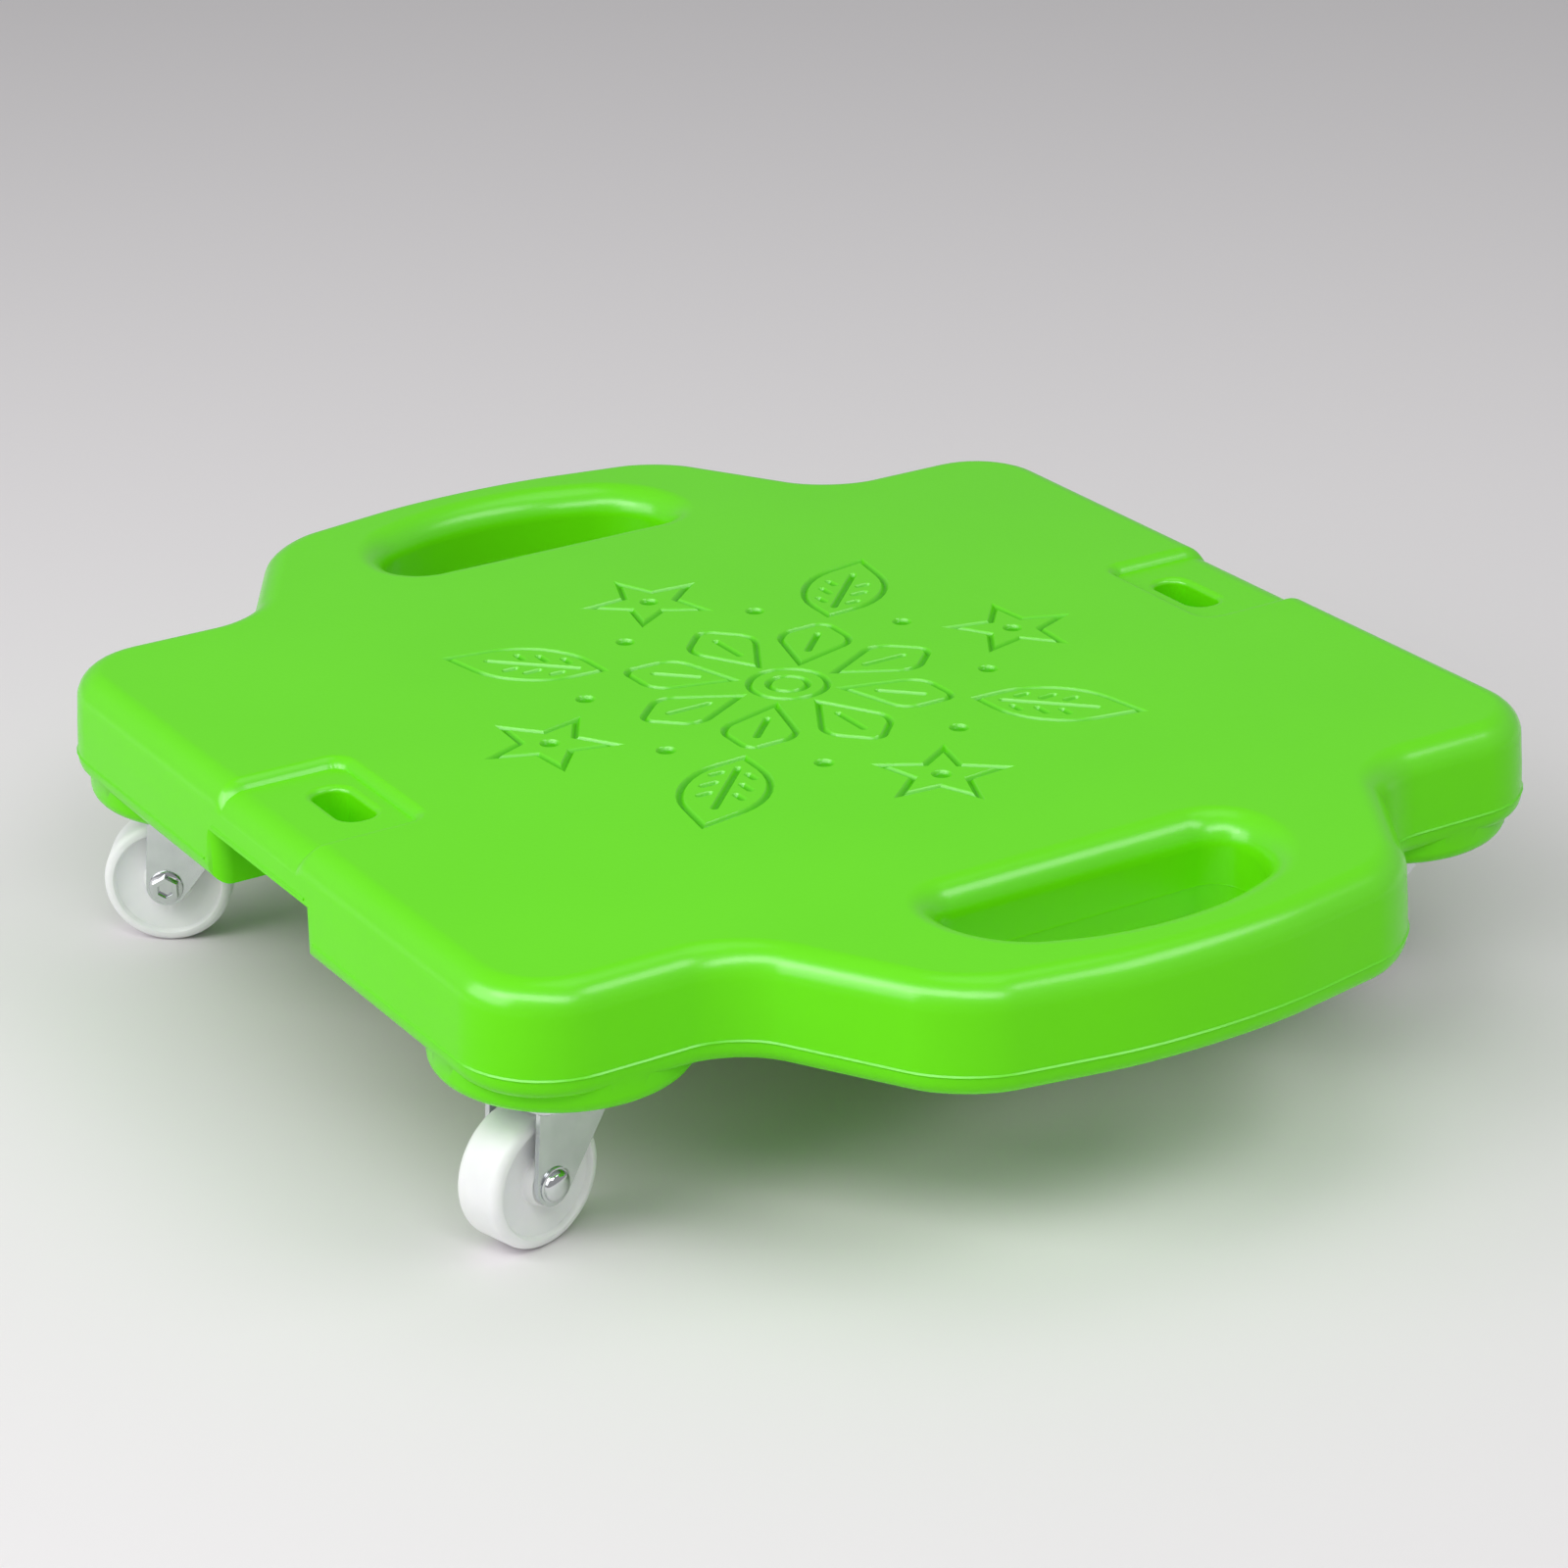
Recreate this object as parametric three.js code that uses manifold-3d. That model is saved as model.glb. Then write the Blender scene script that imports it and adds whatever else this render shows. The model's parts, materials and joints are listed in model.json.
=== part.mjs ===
// Ride-on scooter board: a hollow blow-moulded board on four swivel casters.
// Millimetres, +Z up. The origin is on the floor under the middle of the board.
// X runs from handle to handle and Y from link tab to link tab.

import * as THREE from 'three';
import { mergeVertices } from 'three/addons/utils/BufferGeometryUtils.js';
import Module from 'manifold-3d';

const wasm = await Module();
wasm.setup();

// General
const overrun = 2;          // how far every cutting shape runs past what it cuts
const mergeTolerance = 1e-4;
const seatGap = 0.3;        // gap left where one piece rests on or in another
const quarterTurn = Math.PI / 2;
const fullTurn = 2 * Math.PI;
const up = new THREE.Vector3(0, 0, 1);

// Board, seen from above
const boardLength = 360;        // across its two link tabs
const sideSpan = 296;           // width across the straight sides beside the corners
const handleSpan = 432;         // width across the two handles
const cornerRadius = 28;
const neckSpan = 221;           // distance between the two necks of one handle
const neckRadius = 26;
const shoulderSpan = 152;       // distance between the two shoulders of one handle
const shoulderSetback = 14;     // how far a shoulder stands back from the handle's end
const shoulderRadius = 40;
const handleEndRadius = 220;

// Board, seen from the side
const boardThickness = 33;
const topRadius = 9;
const bottomRadius = 5.5;
const sideDraft = 1;            // how far the wall leans in on its way up
const wallThickness = 3.4;
const partingHeight = 7;        // height of the parting line above the underside
const partingRidge = 0.45;      // how far the parting line stands proud

// Caster bosses under the corners
const bossDepth = 6;
const bossEdgeRadius = 4;
const bossMargin = 1.5;         // from the boss to the board's straight edges
const plateMargin = 0.2;        // flat ring left round the plate's corners
const bossFloor = 5;            // thick floor that the plate screws bite into

// Handle holes
const gripWidth = 24;           // from the hole to the outer end of the handle
const holeWidth = 42;
const holeLength = 102;
const holeSetback = 20;         // how far the hole's outer corners stand back
const holeCornerRadius = 10;
const holeShoulderRadius = 26;
const holeEndRadius = 90;
const holeTopLip = 9.5;
const holeBottomLip = 5;
const holeLipWall = 1;          // least wall between a top lip and the hollow

// Link tabs: a recess above, a slot through and a notch below
const recessWidth = 57;
const recessLength = 44;
const recessDepth = 2.7;
const recessCornerRadius = 8;
const recessSlope = 1.4;
const tongueThickness = 13;
const notchLength = 46;
const notchCornerRadius = 7;
const slotLength = 25;
const slotWidth = 11.5;
const slotRadius = 5.2;
const slotEdge = 29;            // from the board's edge to the middle of the slot
const slotLip = 2;
const blowHoleRadius = 4;

// Engraving in the deck, with places measured out from the middle of the board
const grooveWidth = 2.4;
const grooveDepth = 1;
const flowerEyeRadius = 12;
const petalCount = 8;
const petalStart = 17;
const petalShoulder = 39;
const petalEnd = 52;
const petalHalfWidth = 12.5;
const petalShoulderRadius = 8;
const petalTipRadius = 4;
const leafCount = 4;
const leafStart = 58;
const leafShoulder = 80;
const leafEnd = 108;
const leafHalfWidth = 20;
const leafShoulderRadius = 26;
const leafRibStart = 66;
const leafRibEnd = 95;
const starPlace = 83;
const starPoints = 5;
const starRadius = 19;
const starWaistRadius = 8.5;
const dotPlace = 62;
const dotRadius = 3;

// Casters
const casterHeight = 50;
const casterTrail = 15;         // from the swivel axis back to the axle
const wheelRadius = 20;
const wheelWidth = 16;
const sheetThickness = 1.6;
const forkClearance = 0.5;      // between a leg and the wheel's hub

// Mounting plate and its screws
const plateCornerRadius = 7;
const screwEdge = 6;            // from a screw to the plate's edge
const screwSpread = 40.4;       // degrees from the plate's long axis to a screw
const screwClearance = 0.5;     // between a screw's head and the turning fork
const screwRadius = 2.2;
const screwLength = 11;
const screwHeadRadius = 3.5;
const screwHeadHeight = 1.9;

// Swivel head
const kingpinRadius = 3;
const kingpinHeadRadius = 5;
const kingpinFlangeRadius = 7.4;
const ballRadius = 1.25;
const raceGap = 1.3;            // between the two sheets that a ball ring runs in
const upperRaceRadius = 8.3;
const lowerRaceRadius = 5.1;
const upperBallCount = 9;
const lowerBallCount = 6;
const raceSides = 18;
const cageRadius = 0.6;
const raceClearance = 0.38;     // so that the balls run free in faceted grooves
const dustCupRadius = 17;
const dustCupRim = 1.8;
const dustCupThickness = 1;

// Fork
const crownFrontRadius = 21;
const crownRearRadius = 17;
const legFrontReach = 4.5;      // how far the leg's top stands out past the axle
const legRearReach = 11;        // how far the leg's top runs past the swivel axis
const legEndRadius = 6.3;

// Wheel and axle
const treadEdge = 2;
const rimThickness = 3.6;
const faceRecess = 2.4;
const hubRadius = 7;
const hubProud = 0.5;
const sleeveRadius = 4;
const sleeveClearance = 0.1;    // running clearance of the wheel on its sleeve
const axleRadius = 2.8;
const axleHeadRadius = 4.6;
const axleHeadHeight = 2.6;
const axleDomeShare = 0.7;      // share of the head's height that is its dome
const nutRadius = 4.9;
const nutFlangeRadius = 5.4;
const nutHeight = 3;
const nutFlangeHeight = 1;
const nutSocketRadius = 2.1;
const nutSocketDepth = 1.6;

// Heights and places worked out from the sizes above
const undersideZ = casterHeight + bossDepth;
const topZ = undersideZ + boardThickness;
const partingZ = undersideZ + partingHeight;
const tongueZ = topZ - recessDepth - tongueThickness;
const slotY = boardLength / 2 - slotEdge;

// Levels inside a caster, down from the face it is screwed to
const plateTop = -seatGap;
const plateBottom = plateTop - sheetThickness;
const crownTop = plateBottom - raceGap;
const crownBottom = crownTop - sheetThickness;
const flangeTop = crownBottom - raceGap;
const flangeBottom = flangeTop - sheetThickness;
const cupTop = flangeBottom - seatGap;
const cupBottom = cupTop - dustCupThickness;
const axleZ = wheelRadius - casterHeight;
const hubHalf = wheelWidth / 2 + hubProud;
const legInner = hubHalf + forkClearance;
const legOuter = legInner + sheetThickness;

// The screws stand clear of the turning fork, the plate holds them, and the boss the plate
const forkSweep = Math.max(crownFrontRadius, Math.hypot(casterTrail + legFrontReach, legOuter));
const screwCircle = forkSweep + screwClearance + screwHeadRadius;
const screwX = screwCircle * Math.cos(THREE.MathUtils.degToRad(screwSpread));
const screwY = screwCircle * Math.sin(THREE.MathUtils.degToRad(screwSpread));
const plateLength = 2 * (screwX + screwEdge);
const plateWidth = 2 * (screwY + screwEdge);
const plateReach = plateCornerRadius
  + Math.hypot(plateLength / 2 - plateCornerRadius, plateWidth / 2 - plateCornerRadius);
const bossRadius = plateReach + plateMargin + bossEdgeRadius;
const bossX = sideSpan / 2 - bossMargin - bossRadius;
const bossY = boardLength / 2 - bossMargin - bossRadius;

// Materials
function plainMaterial(name, color, roughness, metalness) {
  const material = new THREE.MeshStandardMaterial({ color, roughness, metalness });
  material.name = name;
  return material;
}

const greenPlastic = plainMaterial('green_plastic', 0x6fe02e, 0.42, 0);
const whiteNylon = plainMaterial('white_nylon', 0xeeeef0, 0.38, 0);
const zincSteel = plainMaterial('zinc_steel', 0xb9c0c4, 0.3, 0.9);
const brightSteel = plainMaterial('bright_steel', 0xd6d9db, 0.16, 1);

// Solids: meshes become closed bodies that can be cut and joined
function solidOf(geometry) {
  const bare = geometry.index ? geometry.toNonIndexed() : geometry.clone();
  bare.deleteAttribute('normal');
  bare.deleteAttribute('uv');
  const merged = mergeVertices(bare, mergeTolerance);
  return new wasm.Manifold(new wasm.Mesh({
    numProp: 3,
    vertProperties: new Float32Array(merged.attributes.position.array),
    triVerts: new Uint32Array(merged.index.array),
  }));
}

function geometryOf(solid) {
  const mesh = solid.getMesh();
  const geometry = new THREE.BufferGeometry();
  const points = new Float32Array(mesh.numVert * 3);
  for (let vertex = 0; vertex < mesh.numVert; vertex += 1) {
    for (let axis = 0; axis < 3; axis += 1) {
      points[3 * vertex + axis] = mesh.vertProperties[mesh.numProp * vertex + axis];
    }
  }
  geometry.setAttribute('position', new THREE.BufferAttribute(points, 3));
  geometry.setIndex(new THREE.BufferAttribute(new Uint32Array(mesh.triVerts), 1));
  geometry.computeVertexNormals();
  return geometry;
}

function joined(solids) {
  return solids.reduce((whole, solid) => whole.add(solid));
}

function cutFrom(body, tools) {
  return tools.reduce((rest, tool) => rest.subtract(tool), body);
}

// Outlines: each corner of a counterclockwise outline is rounded by an arc
function roundedOutline(corners, steps) {
  return corners.map(([x, y, radius], index) => {
    const corner = new THREE.Vector2(x, y);
    const before = new THREE.Vector2(...corners.at(index - 1).slice(0, 2)).sub(corner).normalize();
    const after = new THREE.Vector2(...corners[(index + 1) % corners.length].slice(0, 2)).sub(corner).normalize();
    const turn = Math.sign(after.clone().cross(before));
    const halfAngle = Math.acos(THREE.MathUtils.clamp(before.dot(after), -1, 1)) / 2;
    const middle = before.clone().add(after).normalize();
    const centre = corner.clone().addScaledVector(middle, radius / Math.sin(halfAngle));
    const facing = middle.angle() + Math.PI;
    const sweep = turn * (quarterTurn - halfAngle);
    return { centre, radius, turn, facing, sweep, steps: radius > 0 ? steps : 0 };
  });
}

// The points of an outline, moved in by the given distance
function outlinePoints(outline, inset) {
  return outline.flatMap(({ centre, radius, turn, facing, sweep, steps }) => {
    const points = [];
    for (let step = 0; step <= steps; step += 1) {
      const angle = steps > 0 ? facing + sweep * (2 * step / steps - 1) : facing;
      const reach = steps > 0 ? radius - turn * inset : -turn * inset / Math.cos(sweep);
      points.push(new THREE.Vector2(Math.cos(angle), Math.sin(angle)).multiplyScalar(reach).add(centre));
    }
    return points;
  });
}

// A closed body through one outline at several levels, from the lowest up
function lofted(outline, levels) {
  const rings = levels.map(({ z, inset }) => outlinePoints(outline, inset).map((p) => [p.x, p.y, z]));
  const count = rings[0].length;
  const positions = rings.flat(2);
  const triangles = [];
  for (let level = 0; level + 1 < rings.length; level += 1) {
    for (let side = 0; side < count; side += 1) {
      const low = level * count + side;
      const lowNext = level * count + (side + 1) % count;
      triangles.push(low, lowNext, lowNext + count, low, lowNext + count, low + count);
    }
  }
  const lid = THREE.ShapeUtils.triangulateShape(outlinePoints(outline, levels.at(-1).inset), []);
  const floor = THREE.ShapeUtils.triangulateShape(outlinePoints(outline, levels[0].inset), []);
  const lidStart = (rings.length - 1) * count;
  lid.forEach(([a, b, c]) => triangles.push(lidStart + a, lidStart + b, lidStart + c));
  floor.forEach(([a, b, c]) => triangles.push(a, c, b));
  const geometry = new THREE.BufferGeometry();
  geometry.setAttribute('position', new THREE.Float32BufferAttribute(positions, 3));
  geometry.setIndex(triangles);
  return solidOf(geometry);
}

// Levels of a quarter-round edge: outward bulges for a body, lips for a hole
function roundedLevels(edgeZ, radius, inset, side, steps, sense) {
  const levels = [];
  for (let step = 0; step <= steps; step += 1) {
    const angle = quarterTurn * step / steps;
    levels.push({
      z: edgeZ - side * radius * (1 - Math.sin(angle)),
      inset: inset + sense * radius * (1 - Math.cos(angle)),
    });
  }
  return side > 0 ? levels : levels.reverse();
}

function roundBar(radius, bottom, top, sides) {
  const bar = new THREE.CylinderGeometry(radius, radius, top - bottom, sides);
  bar.rotateX(quarterTurn);
  bar.translate(0, 0, (top + bottom) / 2);
  return solidOf(bar);
}

// A turned body about the Z axis from a profile of [radius, height] points
function turned(profile, sides) {
  const points = profile.map(([radius, height]) => new THREE.Vector2(radius, height));
  const lathe = new THREE.LatheGeometry(points, sides);
  lathe.rotateX(quarterTurn);
  return solidOf(lathe);
}

function closedProfile(profile) {
  return [...profile, profile[0]];
}

function extrudedUp(outline, bottom, top, inset = 0) {
  return lofted(outline, [{ z: bottom, inset }, { z: top, inset }]);
}

function rectangleCorners(length, width, radius) {
  return [
    [-length / 2, -width / 2, radius],
    [length / 2, -width / 2, radius],
    [length / 2, width / 2, radius],
    [-length / 2, width / 2, radius],
  ];
}

// Where two leaning sides meet beyond an end arc that reaches the given place
function tipOf(reach, setback, halfSpan, radius) {
  const lean = Math.atan2(setback, halfSpan);
  return reach + radius * (1 / Math.cos(lean) - 1);
}

// Board outlines
function boardOutline(steps) {
  const tip = tipOf(handleSpan / 2, shoulderSetback, shoulderSpan / 2, handleEndRadius);
  const rightFront = [
    [sideSpan / 2, -boardLength / 2, cornerRadius],
    [sideSpan / 2, -neckSpan / 2, neckRadius],
    [tip - shoulderSetback, -shoulderSpan / 2, shoulderRadius],
  ];
  const handleEnd = [tip, 0, handleEndRadius];
  const rightBack = rightFront.map(([x, y, radius]) => [x, -y, radius]).reverse();
  const right = [...rightFront, handleEnd, ...rightBack];
  const left = right.map(([x, y, radius]) => [-x, -y, radius]);
  return roundedOutline([...right, ...left], steps);
}

function holeOutline(steps) {
  const inner = handleSpan / 2 - gripWidth - holeWidth;
  const tip = tipOf(inner + holeWidth, holeSetback, holeLength / 2, holeEndRadius);
  return roundedOutline([
    [inner, -holeLength / 2, holeCornerRadius],
    [tip - holeSetback, -holeLength / 2, holeShoulderRadius],
    [tip, 0, holeEndRadius],
    [tip - holeSetback, holeLength / 2, holeShoulderRadius],
    [inner, holeLength / 2, holeCornerRadius],
  ], steps);
}

// The outer skin's levels, from the underside up over the parting line
function skinLevels() {
  const wallTop = topZ - topRadius;
  return [
    ...roundedLevels(undersideZ, bottomRadius, 0, -1, 2, 1),
    { z: partingZ - partingRidge, inset: 0 },
    { z: partingZ, inset: -partingRidge },
    { z: partingZ + partingRidge, inset: 0 },
    { z: wallTop, inset: sideDraft },
    ...roundedLevels(topZ, topRadius, sideDraft, 1, 3, 1).slice(1),
  ];
}

function cavityLevels() {
  return [
    { z: undersideZ + wallThickness, inset: bottomRadius + wallThickness / 2 },
    { z: undersideZ + bottomRadius, inset: wallThickness },
    { z: topZ - topRadius, inset: wallThickness + sideDraft },
    { z: topZ - wallThickness, inset: topRadius + sideDraft },
  ];
}

// The hole is straight in the middle and flares into a round lip at both ends
function holeLevels() {
  return [
    { z: undersideZ - overrun, inset: -holeBottomLip },
    ...roundedLevels(undersideZ, holeBottomLip, 0, -1, 2, -1),
    ...roundedLevels(topZ, holeTopLip, 0, 1, 3, -1),
    { z: topZ + overrun, inset: -holeTopLip },
  ];
}

function bossBody(centreX, centreY) {
  const bottom = undersideZ - bossDepth;
  const middle = undersideZ + bottomRadius;
  const profile = [
    [0, bottom],
    [bossRadius - bossEdgeRadius, bottom],
    [bossRadius - bossEdgeRadius * (1 - Math.SQRT1_2), bottom + bossEdgeRadius * (1 - Math.SQRT1_2)],
    [bossRadius, bottom + bossEdgeRadius],
    [bossRadius, middle],
    [0, middle],
  ];
  return turned(profile, 28).translate([centreX, centreY, 0]);
}

function bossHollow(centreX, centreY) {
  const bottom = undersideZ - bossDepth + bossFloor;
  return roundBar(bossRadius - wallThickness, bottom, undersideZ + bottomRadius, 14)
    .translate([centreX, centreY, 0]);
}

// The recess, slot and notch of one link tab; side is 1 at the back and -1 in front
function recessTool(side) {
  const mouth = boardLength / 2 + overrun;
  const back = boardLength / 2 - recessLength;
  const outline = roundedOutline([
    [recessWidth / 2, -back, recessCornerRadius],
    [-recessWidth / 2, -back, recessCornerRadius],
    [-recessWidth / 2, -mouth - recessSlope, 0],
    [recessWidth / 2, -mouth - recessSlope, 0],
  ], 4);
  const levels = [
    { z: topZ - recessDepth, inset: recessSlope },
    { z: topZ, inset: 0 },
    { z: topZ + overrun, inset: -recessSlope },
  ];
  return turnedToSide(lofted(outline, levels), side);
}

function notchTool(side) {
  const half = recessWidth / 2;
  const edge = -boardLength / 2;
  const outside = edge - overrun - partingRidge;
  const flared = half + 2 * notchCornerRadius;
  const outline = roundedOutline([
    [half, edge + notchLength, notchCornerRadius],
    [-half, edge + notchLength, notchCornerRadius],
    [-half, edge, notchCornerRadius],
    [-flared, edge, 0],
    [-flared, outside, 0],
    [flared, outside, 0],
    [flared, edge, 0],
    [half, edge, notchCornerRadius],
  ], 3);
  return turnedToSide(extrudedUp(outline, undersideZ - overrun, tongueZ), side);
}

function slotTool(side) {
  const outline = roundedOutline(rectangleCorners(slotLength, slotWidth, slotRadius), 3);
  const floor = topZ - recessDepth;
  const levels = [
    { z: tongueZ - overrun, inset: 0 },
    { z: floor - slotLip, inset: 0 },
    { z: floor, inset: -slotLip },
    { z: topZ + overrun, inset: -slotLip },
  ];
  return turnedToSide(lofted(outline, levels).translate([0, -slotY, 0]), side);
}

function turnedToSide(solid, side) {
  return side > 0 ? solid.rotate([0, 0, 180]) : solid;
}

// The tab is solid, so the hollow stops a wall's thickness short of its notch
function tabCore(side) {
  const inner = -boardLength / 2 + notchLength + wallThickness;
  const half = recessWidth / 2 + wallThickness;
  const outside = -boardLength / 2 - overrun;
  const outline = roundedOutline([
    [half, inner, 0],
    [-half, inner, 0],
    [-half, outside, 0],
    [half, outside, 0],
  ], 0);
  return turnedToSide(extrudedUp(outline, undersideZ - overrun, topZ + overrun), side);
}

const cornerPlaces = [
  { name: 'front_left', x: -bossX, y: -bossY, swivel: 57, boltSide: 1 },
  { name: 'front_right', x: bossX, y: -bossY, swivel: 105, boltSide: -1 },
  { name: 'back_right', x: bossX, y: bossY, swivel: 78, boltSide: -1 },
  { name: 'back_left', x: -bossX, y: bossY, swivel: 132, boltSide: 1 },
];

function screwPlaces() {
  return rectangleCorners(2 * screwX, 2 * screwY, 0).map(([x, y]) => [x, y]);
}

function pilotHoles(place) {
  const bottom = casterHeight - overrun;
  const top = undersideZ + wallThickness + overrun;
  return screwPlaces().map(([x, y]) => roundBar(screwRadius + 2 * seatGap, bottom, top, 6)
    .translate([place.x + x, place.y + y, 0]));
}

// A groove along a closed outline in the deck
function groove(outline) {
  const bottom = topZ - grooveDepth;
  const island = extrudedUp(outline, bottom - overrun, topZ + 2 * overrun, grooveWidth / 2);
  return extrudedUp(outline, bottom, topZ + overrun, -grooveWidth / 2).subtract(island);
}

// Copies of one shape, turned evenly about the middle of the board from a first heading
function allRound(solid, count, first) {
  return Array.from({ length: count }, (_, index) => solid.rotate([0, 0, first + 360 * index / count]));
}

function starOutline() {
  const corners = Array.from({ length: 2 * starPoints }, (_, index) => {
    const reach = index % 2 === 0 ? starRadius : starWaistRadius;
    const angle = Math.PI * index / starPoints;
    return [starPlace + reach * Math.cos(angle), reach * Math.sin(angle), 0];
  });
  return roundedOutline(corners, 0);
}

// A flower of petals round an eye, with leaves between stars and dots round it
function deckEngraving() {
  const bottom = topZ - grooveDepth;
  const eyeSpan = 2 * flowerEyeRadius;
  const petal = roundedOutline([
    [petalStart, 0, 0],
    [petalShoulder, -petalHalfWidth, petalShoulderRadius],
    [petalEnd, 0, petalTipRadius],
    [petalShoulder, petalHalfWidth, petalShoulderRadius],
  ], 2);
  const leaf = roundedOutline([
    [leafStart, 0, 0],
    [leafShoulder, -leafHalfWidth, leafShoulderRadius],
    [leafEnd, 0, 0],
    [leafShoulder, leafHalfWidth, leafShoulderRadius],
  ], 3);
  const rib = roundedOutline(rectangleCorners(leafRibEnd - leafRibStart, grooveWidth, 0), 0);
  const ribTool = extrudedUp(rib, bottom, topZ + overrun).translate([(leafRibStart + leafRibEnd) / 2, 0, 0]);
  const dot = roundBar(dotRadius, bottom, topZ + overrun, 6).translate([dotPlace, 0, 0]);
  const leafTurn = 360 / leafCount;
  return [
    groove(roundedOutline(rectangleCorners(eyeSpan, eyeSpan, flowerEyeRadius), 3)),
    ...allRound(groove(petal), petalCount, 0),
    ...allRound(groove(leaf), leafCount, leafTurn / 2),
    ...allRound(ribTool, leafCount, leafTurn / 2),
    ...allRound(groove(starOutline()), leafCount, 0),
    ...allRound(dot, 2 * leafCount, leafTurn / 4),
  ];
}

function boardShell() {
  const skin = lofted(boardOutline(4), skinLevels());
  const bosses = cornerPlaces.map((place) => bossBody(place.x, place.y));
  const hole = lofted(holeOutline(3), holeLevels());
  const holeSleeve = extrudedUp(holeOutline(2), undersideZ - overrun, topZ + overrun, -holeTopLip - holeLipWall);
  const sides = [-1, 1];
  const hollow = cutFrom(
    joined([
      lofted(boardOutline(2), cavityLevels()),
      ...cornerPlaces.map((place) => bossHollow(place.x, place.y)),
    ]),
    [holeSleeve, holeSleeve.rotate([0, 0, 180]), ...sides.map(tabCore)],
  );
  const blowHole = roundBar(blowHoleRadius, undersideZ - overrun, undersideZ + wallThickness + overrun, 12);
  return cutFrom(joined([skin, ...bosses]), [
    hole,
    hole.rotate([0, 0, 180]),
    ...sides.map(recessTool),
    ...sides.map(notchTool),
    ...sides.map(slotTool),
    hollow,
    blowHole,
    ...deckEngraving(),
    ...cornerPlaces.flatMap(pilotHoles),
  ]);
}

// Race grooves are cut by a ring a little larger than the balls
function raceGroove(radius, level) {
  const ring = new THREE.TorusGeometry(radius, ballRadius + raceClearance, 6, raceSides);
  return solidOf(ring).translate([0, 0, level]);
}

function mountingPlate() {
  const outline = roundedOutline(rectangleCorners(plateLength, plateWidth, plateCornerRadius), 2);
  const holes = screwPlaces().map(([x, y]) => roundBar(
    screwRadius + 2 * seatGap, plateBottom - overrun, plateTop + overrun, 6).translate([x, y, 0]));
  return cutFrom(extrudedUp(outline, plateBottom, plateTop), [
    ...holes,
    kingpinBore(),
    raceGroove(upperRaceRadius, (plateBottom + crownTop) / 2),
  ]);
}

// The plate's middle hole follows the kingpin's countersunk head
function kingpinBore() {
  return turned([
    [0, plateBottom - overrun],
    [kingpinRadius + seatGap, plateBottom - overrun],
    [kingpinRadius + seatGap, plateBottom],
    [kingpinHeadRadius + seatGap, plateTop],
    [kingpinHeadRadius + seatGap, plateTop + overrun],
    [0, plateTop + overrun],
  ], 10);
}

function plateScrew() {
  const headTop = plateBottom - seatGap;
  const headBottom = headTop - screwHeadHeight;
  const tip = headTop + screwLength;
  return turned([
    [0, headBottom],
    [screwHeadRadius * Math.SQRT1_2, headBottom],
    [screwHeadRadius, headTop - screwHeadHeight / 2],
    [screwHeadRadius, headTop],
    [screwRadius, headTop],
    [screwRadius, tip - screwRadius],
    [0, tip],
  ], 6);
}

function kingpin() {
  const pin = turned([
    [0, flangeBottom],
    [kingpinFlangeRadius, flangeBottom],
    [kingpinFlangeRadius, flangeTop],
    [kingpinRadius, flangeTop],
    [kingpinRadius, plateBottom],
    [kingpinHeadRadius, plateTop],
    [0, plateTop],
  ], 12);
  return pin.subtract(raceGroove(lowerRaceRadius, (flangeTop + crownBottom) / 2));
}

// Balls in a thin wire cage that keeps them apart
function ballRing(radius, count, level) {
  const cage = new THREE.TorusGeometry(radius, cageRadius, 3, count);
  const balls = [];
  for (let ball = 0; ball < count; ball += 1) {
    const sphere = new THREE.IcosahedronGeometry(ballRadius);
    sphere.translate(radius, 0, 0);
    sphere.rotateZ(fullTurn * ball / count);
    balls.push(solidOf(sphere));
  }
  return joined([solidOf(cage), ...balls]).translate([0, 0, level]);
}

// The crown is a sheet with a round front and back; both legs are bent down from it
function forkBody() {
  const frontX = Math.sqrt(crownFrontRadius ** 2 - legOuter ** 2);
  const rearX = Math.sqrt(crownRearRadius ** 2 - legOuter ** 2);
  const crownShape = new THREE.Shape();
  const frontTurn = Math.asin(legOuter / crownFrontRadius);
  const rearTurn = Math.asin(legOuter / crownRearRadius);
  crownShape.moveTo(-frontX, -legOuter);
  crownShape.lineTo(rearX, -legOuter);
  crownShape.absarc(0, 0, crownRearRadius, -rearTurn, rearTurn, false);
  crownShape.lineTo(-frontX, legOuter);
  crownShape.absarc(0, 0, crownFrontRadius, Math.PI - frontTurn, Math.PI + frontTurn, false);
  const crown = new THREE.ExtrudeGeometry(crownShape, {
    depth: sheetThickness, bevelEnabled: false, curveSegments: 5,
  });
  crown.translate(0, 0, crownBottom);
  const legs = [-1, 1].map((side) => forkLeg(side));
  return cutFrom(joined([solidOf(crown), ...legs]), [
    roundBar(kingpinRadius + seatGap, crownBottom - overrun, crownTop + overrun, 10),
    raceGroove(upperRaceRadius, (plateBottom + crownTop) / 2),
    raceGroove(lowerRaceRadius, (flangeTop + crownBottom) / 2),
  ]);
}

function forkLeg(side) {
  const outline = roundedOutline([
    [-casterTrail - legEndRadius, axleZ - legEndRadius, legEndRadius],
    [-casterTrail + legEndRadius, axleZ - legEndRadius, legEndRadius],
    [legRearReach, crownTop - sheetThickness / 2, 0],
    [legRearReach, crownTop, 0],
    [-casterTrail - legFrontReach, crownTop, 0],
  ], 3);
  const sheet = extrudedUp(outline, -sheetThickness / 2, sheetThickness / 2);
  const upright = sheet.rotate([90, 0, 0]).translate([0, side * (legInner + legOuter) / 2, 0]);
  return upright.subtract(alongAxle(roundBar(axleRadius + seatGap, -legOuter - overrun, legOuter + overrun, 10)));
}

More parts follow.
